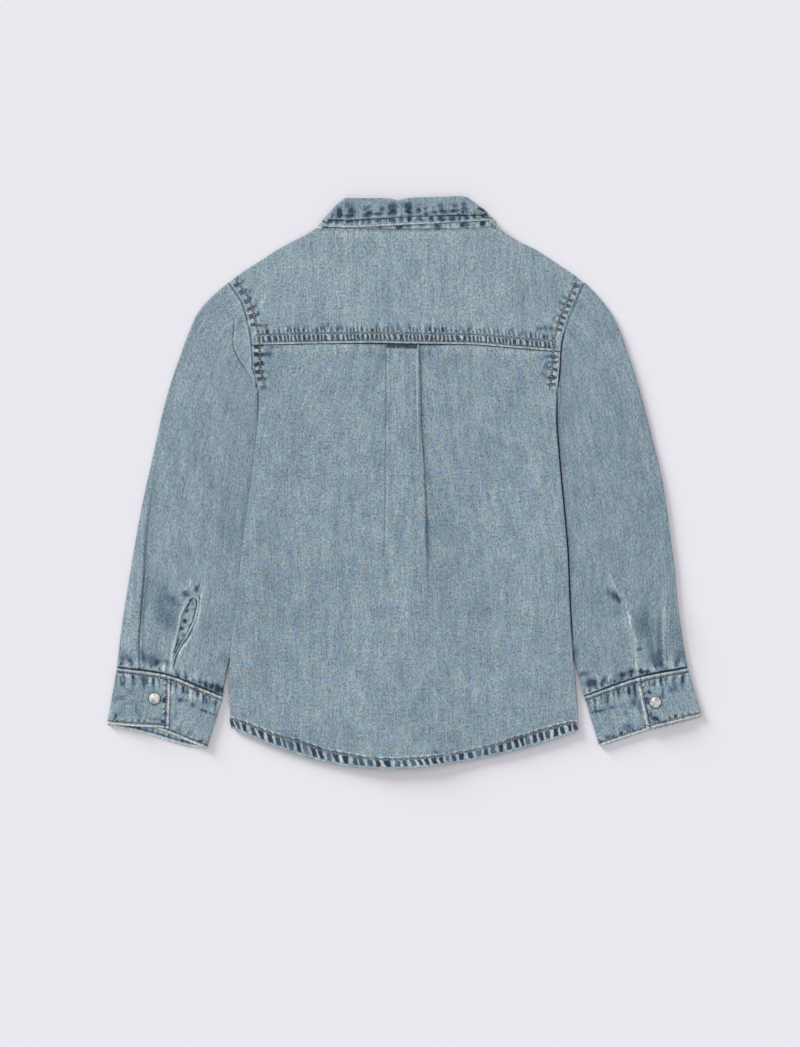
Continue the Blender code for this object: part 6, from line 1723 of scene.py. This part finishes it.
def stitch_tree(material):
    tree = bpy.data.node_groups.new("stitches", "GeometryNodeTree")
    side = tree.interface
    side.new_socket("Geometry", in_out="INPUT", socket_type="NodeSocketGeometry")
    for name in ("Pitch", "Length", "Thickness"):
        side.new_socket(name, in_out="INPUT", socket_type="NodeSocketFloat")
    side.new_socket("Seed", in_out="INPUT", socket_type="NodeSocketInt")
    side.new_socket("Geometry", in_out="OUTPUT", socket_type="NodeSocketGeometry")

    def node(kind, inputs=(), **settings):
        made = tree.nodes.new(kind)
        for key, value in settings.items():
            setattr(made, key, value)
        for key, value in dict(inputs).items():
            if isinstance(value, bpy.types.NodeSocket):
                tree.links.new(value, made.inputs[key])
            else:
                made.inputs[key].default_value = value
        return made

    given = node("NodeGroupInput").outputs
    curve = node("GeometryNodeMeshToCurve", {"Mesh": given["Geometry"]}).outputs[0]
    curve = node("GeometryNodeResampleCurve", {"Curve": curve, "Length": given["Pitch"]},
                 mode="LENGTH").outputs[0]
    curve = node("GeometryNodeSetCurveNormal", {"Curve": curve}, mode="Z_UP").outputs[0]
    spots = node("GeometryNodeCurveToPoints", {"Curve": curve}, mode="EVALUATED").outputs
    ball = node("GeometryNodeMeshUVSphere", {"Segments": 8, "Rings": 6, "Radius": 0.5}).outputs[0]

    def chance(low, high, extra):
        seed = node("ShaderNodeMath", {0: given["Seed"], 1: extra}, operation="ADD").outputs[0]
        made = node("FunctionNodeRandomValue", {2: low, 3: high, "Seed": seed}, data_type="FLOAT")
        return made.outputs[1]

    def times(a, b):
        return node("ShaderNodeMath", {0: a, 1: b}, operation="MULTIPLY").outputs[0]

    size = node("ShaderNodeCombineXYZ", {
        "X": times(given["Thickness"], chance(0.8, 1.15, 1)),
        "Y": times(given["Thickness"], chance(0.7, 1.0, 2)),
        "Z": times(given["Length"], chance(0.82, 1.05, 3))}).outputs[0]
    lean = node("ShaderNodeCombineXYZ", {"Y": chance(-0.13, 0.13, 4)}).outputs[0]
    turn = node("FunctionNodeRotateRotation", {"Rotation": spots["Rotation"], "Rotate By": lean},
                rotation_space="LOCAL").outputs[0]
    made = node("GeometryNodeInstanceOnPoints", {"Points": spots["Points"], "Instance": ball,
                                                 "Rotation": turn, "Scale": size}).outputs[0]
    made = node("GeometryNodeStoreNamedAttribute", {"Geometry": made, "Name": "tone",
                                                    "Value": chance(0.0, 1.0, 5)},
                data_type="FLOAT", domain="INSTANCE").outputs[0]
    made = node("GeometryNodeRealizeInstances", {"Geometry": made}).outputs[0]
    made = node("GeometryNodeSetShadeSmooth", {"Geometry": made}).outputs[0]
    made = node("GeometryNodeSetMaterial", {"Geometry": made, "Material": material}).outputs[0]
    node("NodeGroupOutput", {"Geometry": made})
    return tree


def sew(name, lines, material):
    """One mesh of stitches along all the lines."""
    points = [p for line in lines for p in line]
    edges, start = [], 0
    for line in lines:
        edges += [(start + k, start + k + 1) for k in range(len(line) - 1)]
        start += len(line)
    guide = bpy.data.meshes.new(name)
    guide.from_pydata(points, edges, [])
    piece = bpy.data.objects.new(name, guide)
    bpy.context.scene.collection.objects.link(piece)
    modifier = piece.modifiers.new("stitches", "NODES")
    modifier.node_group = stitch_tree(material)
    for item in modifier.node_group.interface.items_tree:
        if item.in_out == "INPUT" and item.name in STITCH:
            modifier[item.identifier] = STITCH[item.name]
    ready = piece.evaluated_get(bpy.context.evaluated_depsgraph_get())
    mesh = bpy.data.meshes.new_from_object(ready)
    piece.modifiers.clear()
    piece.data = mesh
    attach(piece, "root")
    pieces[name] = piece
    print(f"{name}: {len(mesh.polygons)} faces")


# %% [markdown]
# ## Shader maths as Python
#
# The finish of denim is a sum of many patterns. Written as nodes one by one it would be hard to
# read, so a small class wraps a socket and lets Python's own operators add the Math nodes.

# %% A socket that takes part in arithmetic
class Shade:
    """A value or colour that flows between the nodes of one material."""

    def __init__(self, tree, socket=None):
        self.tree, self.socket = tree, socket

    def node(self, kind, settings=None, inputs=None, out=0):
        """A node with its settings made first, then its inputs as values or links."""
        made = self.tree.nodes.new(kind)
        for key, value in (settings or {}).items():
            if key == "stops":
                ramp_stops = made.color_ramp.elements
                while len(ramp_stops) < len(value):
                    ramp_stops.new(1.0)
                for stop, (position, colour) in zip(ramp_stops, value):
                    stop.position, stop.color = position, (*colour, 1.0)
            else:
                setattr(made, key, value)
        for key, value in (inputs or {}).items():
            if isinstance(value, Shade):
                self.tree.links.new(value.socket, made.inputs[key])
            else:
                made.inputs[key].default_value = value
        return Shade(self.tree, made.outputs[out])

    def other(self, output):
        return Shade(self.tree, self.socket.node.outputs[output])

    def math(self, operation, *values):
        return self.node("ShaderNodeMath", {"operation": operation}, dict(enumerate(values)))

    def __add__(self, other):
        return self.math("ADD", self, other)

    def __sub__(self, other):
        return self.math("SUBTRACT", self, other)

    def __rsub__(self, other):
        return self.math("SUBTRACT", other, self)

    def __mul__(self, other):
        return self.math("MULTIPLY", self, other)

    __radd__, __rmul__ = __add__, __mul__

    def rise(self, low, high):
        """0 at low, 1 at high and beyond, smooth in between."""
        return self.node("ShaderNodeMapRange", {"interpolation_type": "SMOOTHSTEP"},
                         {"Value": self, "From Min": low, "From Max": high})

    def noise(self, x, y, detail=1.0, rough=0.5):
        """Noise over two numbers, about 0 on average."""
        place = self.node("ShaderNodeCombineXYZ", inputs={"X": x, "Y": y})
        return self.node("ShaderNodeTexNoise", {"noise_dimensions": "2D"}, {
            "Vector": place, "Scale": 1.0, "Detail": detail, "Roughness": rough}) - 0.5

    def attribute(self, name, out="Fac"):
        return self.node("ShaderNodeAttribute", {"attribute_name": name}, out=out)


def new_material(name, roughness, metallic=0.0):
    """A material, the start of its node arithmetic, and its Principled shader."""
    material = bpy.data.materials.new(name)
    material.use_nodes = True
    shader = material.node_tree.nodes["Principled BSDF"]
    shader.inputs["Roughness"].default_value = roughness
    shader.inputs["Metallic"].default_value = metallic
    return material, Shade(material.node_tree), shader


def feed(value, shader, name):
    shader.id_data.links.new(value.socket, shader.inputs[name])


# %% [markdown]
# ## Washed denim
#
# Denim is woven from blue warp threads and white weft threads, in a twill whose diagonal lines
# show the warp. Stonewashing takes dye from whatever stands proud. So one number says how much
# dye is left at a place, and one ramp of colours, from deep indigo to nearly white, turns it
# into a colour. Threads, slubs, clouds, puckers and patches all move that one number. Painted
# shade along some edges and creases and inside the open slit, and a painted highlight beside the
# creases, move the same number.

# %% Marks beside one seam
def seam_marks(start, name, kind):
    """Changes to the dye beside a seam, with painted shade on some edges, and the height of its
    puckers.
    """
    where = start.attribute(name, "Vector")
    pucker = where.node("ShaderNodeSeparateXYZ", inputs={0: where})
    across, strength = pucker.other("Y"), pucker.other("Z")
    pucker = pucker + start.noise(pucker * 0.7 + 3.0, across * 1.3) * 0.5
    turn = pucker * (2 * math.pi)
    wave = turn.math("COSINE", turn)
    height = wave * kind.beat + kind.bias
    height = height + start.noise(pucker * 0.83, across * 0.9) * kind.broad
    height = height + start.noise(pucker * 2.3, across * 3.2, 2.0) * kind.ragged
    edge_width = min(1.3 / kind.stitched, 0.9)
    within = across.rise(edge_width, edge_width * 1.6) * (1 - across.rise(0.80, 0.93))
    ends = across + start.noise(pucker * 1.2, 4.0) * 1.4
    beyond = across.rise(1.04, 1.14) * (1 - ends.rise(1.2, 1.9))
    lower = height - (across - 1) * kind.tail
    dye = lower.rise(-0.12, 0.26) * beyond * -kind.beyond
    dye = dye + (0.02 - height).rise(0.0, 0.4) * (within + beyond * 0.7) * kind.pale
    if kind.inside:
        inner = height - (1 - across) * kind.point
        dye = dye + inner.rise(-0.16, 0.16) * within * -kind.inside
    # A lip below 0 paints shade on an edge that lies under or beside another piece.
    if kind.lip:
        dye = dye + (1 - across.rise(0.5 * edge_width, edge_width)) * kind.lip
    for row, depth, half in kind.rows:
        near = kind.stitched
        far = kind.stitched if row < 1 else kind.reach
        deep = across.rise(row - half / near, row - 0.5 * half / near)
        deep = deep * (1 - across.rise(row + 0.5 * half / far, row + half / far))
        dye = dye + deep * -depth
    dye = dye * (1 + start.noise(pucker * 9.0, across * 11.0, 1.0) * 0.7)
    return dye * strength, wave * (within + beyond * 0.5) * strength


# %% The finish of washed denim
DYE = ((0.0, (0.018, 0.030, 0.052)), (0.1, (0.034, 0.056, 0.094)), (0.28, (0.078, 0.122, 0.182)),
       (0.48, (0.162, 0.233, 0.286)), (0.70, (0.259, 0.341, 0.389)), (0.86, (0.361, 0.434, 0.461)),
       (1.0, (0.560, 0.600, 0.600)))
THREADS = (              # cells across and along the warp, in millimetres, and how strong
    (1.15, 1.7, 1.1), (2.3, 3.4, 0.45), (1.3, 16.0, 0.50), (9.0, 1.1, 0.24))
CLOUDS = ((4.5, 10.0, 0.18), (5.5, 60.0, 0.19), (16.0, 22.0, 0.18), (60.0, 80.0, 0.12))
TWILL = 0.0011           # from one diagonal line of the weave to the next, in metres


def denim(name, wash, tint, kinds):
    """Denim with a share of its dye washed out, drifting in hue, and marked by its seams."""
    material, start, shader = new_material(name, 0.92)
    place = start.node("ShaderNodeUVMap", {"uv_map": "cloth"})
    u = place.node("ShaderNodeSeparateXYZ", inputs={0: place})
    v = u.other("Y")
    dye, light, bump = wash, 1.0, 0.0
    for wide, tall, strength in CLOUDS:
        dye = start.noise(u * (1 / (wide * MM)), v * (1 / (tall * MM)), 1.0) * strength + dye
    for wide, tall, strength in THREADS:
        threads = start.noise(u * (1 / (wide * MM)), v * (1 / (tall * MM)), 1.0)
        light = threads * strength + light
        if wide < 2 or tall < 2:
            bump = threads * 0.16 + bump
    for key, kind in zip(SEAM_NAMES, kinds):
        marks, wave = seam_marks(start, key, kind)
        dye = dye + marks
        bump = bump + wave * 0.16
    # Darker dye in patches and bands, and painted shade inside the open slit.
    stain = start.attribute("stain")
    dye = dye - stain * (1 + start.noise(u * 420.0, v * 320.0, 3.0, 0.65) * 1.3)
    colour = dye.node("ShaderNodeValToRGB", {"stops": DYE}, {"Fac": dye})
    warm = start.noise(u * 210.0 + 9.0, v * 150.0, 2.0, 0.6) * (0.24 * tint)
    green = start.noise(u * 190.0, v * 170.0 + 5.0, 2.0, 0.6) * (0.12 * tint)
    shift = start.node("ShaderNodeCombineXYZ", inputs={
        "X": (warm + 1) * light, "Y": (green + 1) * light, "Z": (1 - warm) * light})
    colour = colour.node("ShaderNodeVectorMath", {"operation": "MULTIPLY"}, {0: colour, 1: shift})
    feed(colour, shader, "Base Color")
    diagonal = (u + v) * (2 * math.pi / TWILL)
    bump = bump + diagonal.math("SINE", diagonal) * 0.02
    bumped = start.node("ShaderNodeBump", inputs={"Strength": 1.0, "Distance": MM,
                                                  "Height": bump})
    feed(bumped, shader, "Normal")
    return material


for name, finish in finishes.items():
    pieces[name].data.materials.append(denim(name.replace("_", " "), *finish))
print("denims:", len(finishes))

# %% [markdown]
# ## Pearl, metal and thread
#
# The caps are plastic with a pearly depth: a glossy coat over a surface whose colour drifts.
# The rings are plain metal, dulled by wear. The thread was once ochre, and has faded unevenly.

# %% Small finishes
def speckle(start, scale, detail):
    """Noise by place on the object, with so many grains to a metre."""
    place = start.node("ShaderNodeTexCoord", out="Object")
    split = place.node("ShaderNodeSeparateXYZ", inputs={0: place})
    return start.noise(split * scale, split.other("Y") * scale, detail)


pearl, start, shader = new_material("pearl cap", 0.22)
shader.inputs["Coat Weight"].default_value = 0.6
shader.inputs["Coat Roughness"].default_value = 0.08
drift = speckle(start, 260.0, 2.0).rise(-0.25, 0.25)
colour = drift.node("ShaderNodeValToRGB", {"stops": ((0.0, (0.25, 0.26, 0.28)),
                                                     (1.0, (0.72, 0.72, 0.71)))}, {"Fac": drift})
feed(colour, shader, "Base Color")

metal, start, shader = new_material("snap ring", 0.32, 1.0)
worn = speckle(start, 900.0, 2.0).rise(-0.2, 0.2)
feed(worn * 0.2 + 0.24, shader, "Roughness")
shader.inputs["Base Color"].default_value = (0.09, 0.09, 0.09, 1.0)

SPUN = {OCHRE: ((0.0, (0.22, 0.20, 0.16)), (0.45, (0.31, 0.30, 0.25)), (0.7, (0.08, 0.08, 0.07)),
                (1.0, (0.50, 0.48, 0.42))),
        FADED: ((0.0, (0.26, 0.24, 0.19)), (0.4, (0.38, 0.37, 0.31)), (0.7, (0.09, 0.09, 0.08)),
                (1.0, (0.52, 0.52, 0.48)))}


def thread(name, stops):
    material, start, shader = new_material(name, 0.75)
    tone = start.attribute("tone")
    fuzz = speckle(start, 4000.0, 1.0)
    colour = tone.node("ShaderNodeValToRGB", {"stops": stops}, {"Fac": tone + fuzz * 0.3})
    feed(colour, shader, "Base Color")
    return material


for name, piece in pieces.items():
    if name.endswith("_pearl"):
        piece.data.materials.append(pearl)
    if name.endswith("_ring"):
        piece.data.materials.append(metal)
for key, lines in rows_above.items():
    sew(f"stitches_{key.split()[0]}", [laid(line) for line in lines], thread(key, SPUN[key]))
for key, lines in rows_below.items():
    sew(f"stitches_{key.split()[0]}_under", [laid(line, False) for line in lines],
        thread(key + " below", SPUN[key]))

# %% [markdown]
# ## Floor, light and camera
#
# The camera looks straight down through a long lens. Shirt and floor are lit apart, by linking
# lamps to receivers. One broad lamp lights the shirt. The floor has a lower lamp, up and to the
# left, for the soft shadow along the right-hand and lower edges, and a faint one from above. The
# pale surround lights both.

# %% The floor
FLOOR_SIZE = 6.0
mesh = bpy.data.meshes.new("floor")
half = FLOOR_SIZE / 2
mesh.from_pydata([(-half, -half, 0), (half, -half, 0), (half, half, 0), (-half, half, 0)], [],
                 [(0, 1, 2, 3)])
floor = bpy.data.objects.new("floor", mesh)
bpy.context.scene.collection.objects.link(floor)
material, start, shader = new_material("pale floor", 0.9)
shader.inputs["Base Color"].default_value = (0.815, 0.806, 0.846, 1.0)
shader.inputs["Specular IOR Level"].default_value = 0.0
mesh.materials.append(material)

# %% The light
def lamp(name, energy, spread, way, floor_state):
    """A broad distant lamp that shines on the floor alone, or on all but the floor."""
    sun = bpy.data.lights.new(name, "SUN")
    sun.energy = energy
    sun.angle = math.radians(spread)
    made = bpy.data.objects.new(name, sun)
    made.rotation_euler = (-Vector(way)).to_track_quat("-Z", "Y").to_euler()
    bpy.context.scene.collection.objects.link(made)
    lit = bpy.data.collections.new(f"{name} receivers")
    lit.objects.link(floor)
    lit.collection_objects[0].light_linking.link_state = floor_state
    made.light_linking.receiver_collection = lit


lamp("key", 1.72, 40, (-0.46, 0.45, 0.76), "EXCLUDE")
lamp("floor_key", 4.2, 22, (-0.68, 0.70, 0.255), "INCLUDE")
lamp("floor_fill", 0.27, 100, (0.0, 0.0, 1.0), "INCLUDE")
world = bpy.data.worlds.new("studio")
world.use_nodes = True
world.node_tree.nodes["Background"].inputs["Color"].default_value = (0.985, 0.98, 1.0, 1.0)
world.node_tree.nodes["Background"].inputs["Strength"].default_value = 0.60
bpy.context.scene.world = world
bpy.context.scene.view_settings.view_transform = "Standard"

# %% The camera
FRAME_HEIGHT = 837.6      # what the camera takes in from top to bottom, in millimetres
FRAME_MIDDLE = (-3.445, -32.6)
DISTANCE = 3.0
camera = bpy.data.objects.new("camera", bpy.data.cameras.new("camera"))
camera.data.sensor_width = 36.0
camera.data.lens = camera.data.sensor_width * DISTANCE / (FRAME_HEIGHT * MM)
camera.location = (FRAME_MIDDLE[0] * MM, FRAME_MIDDLE[1] * MM, DISTANCE)
bpy.context.scene.collection.objects.link(camera)
bpy.context.scene.camera = camera

# %% [markdown]
# ## The cut of each piece
#
# A pattern is cut flat, so a piece of cloth has a rectangle that it is cut from and an area of
# the cut that shows; Cut holds these three numbers.

# %% Flat sizes in metres, and areas in square metres
Cut = namedtuple("Cut", "width length area")
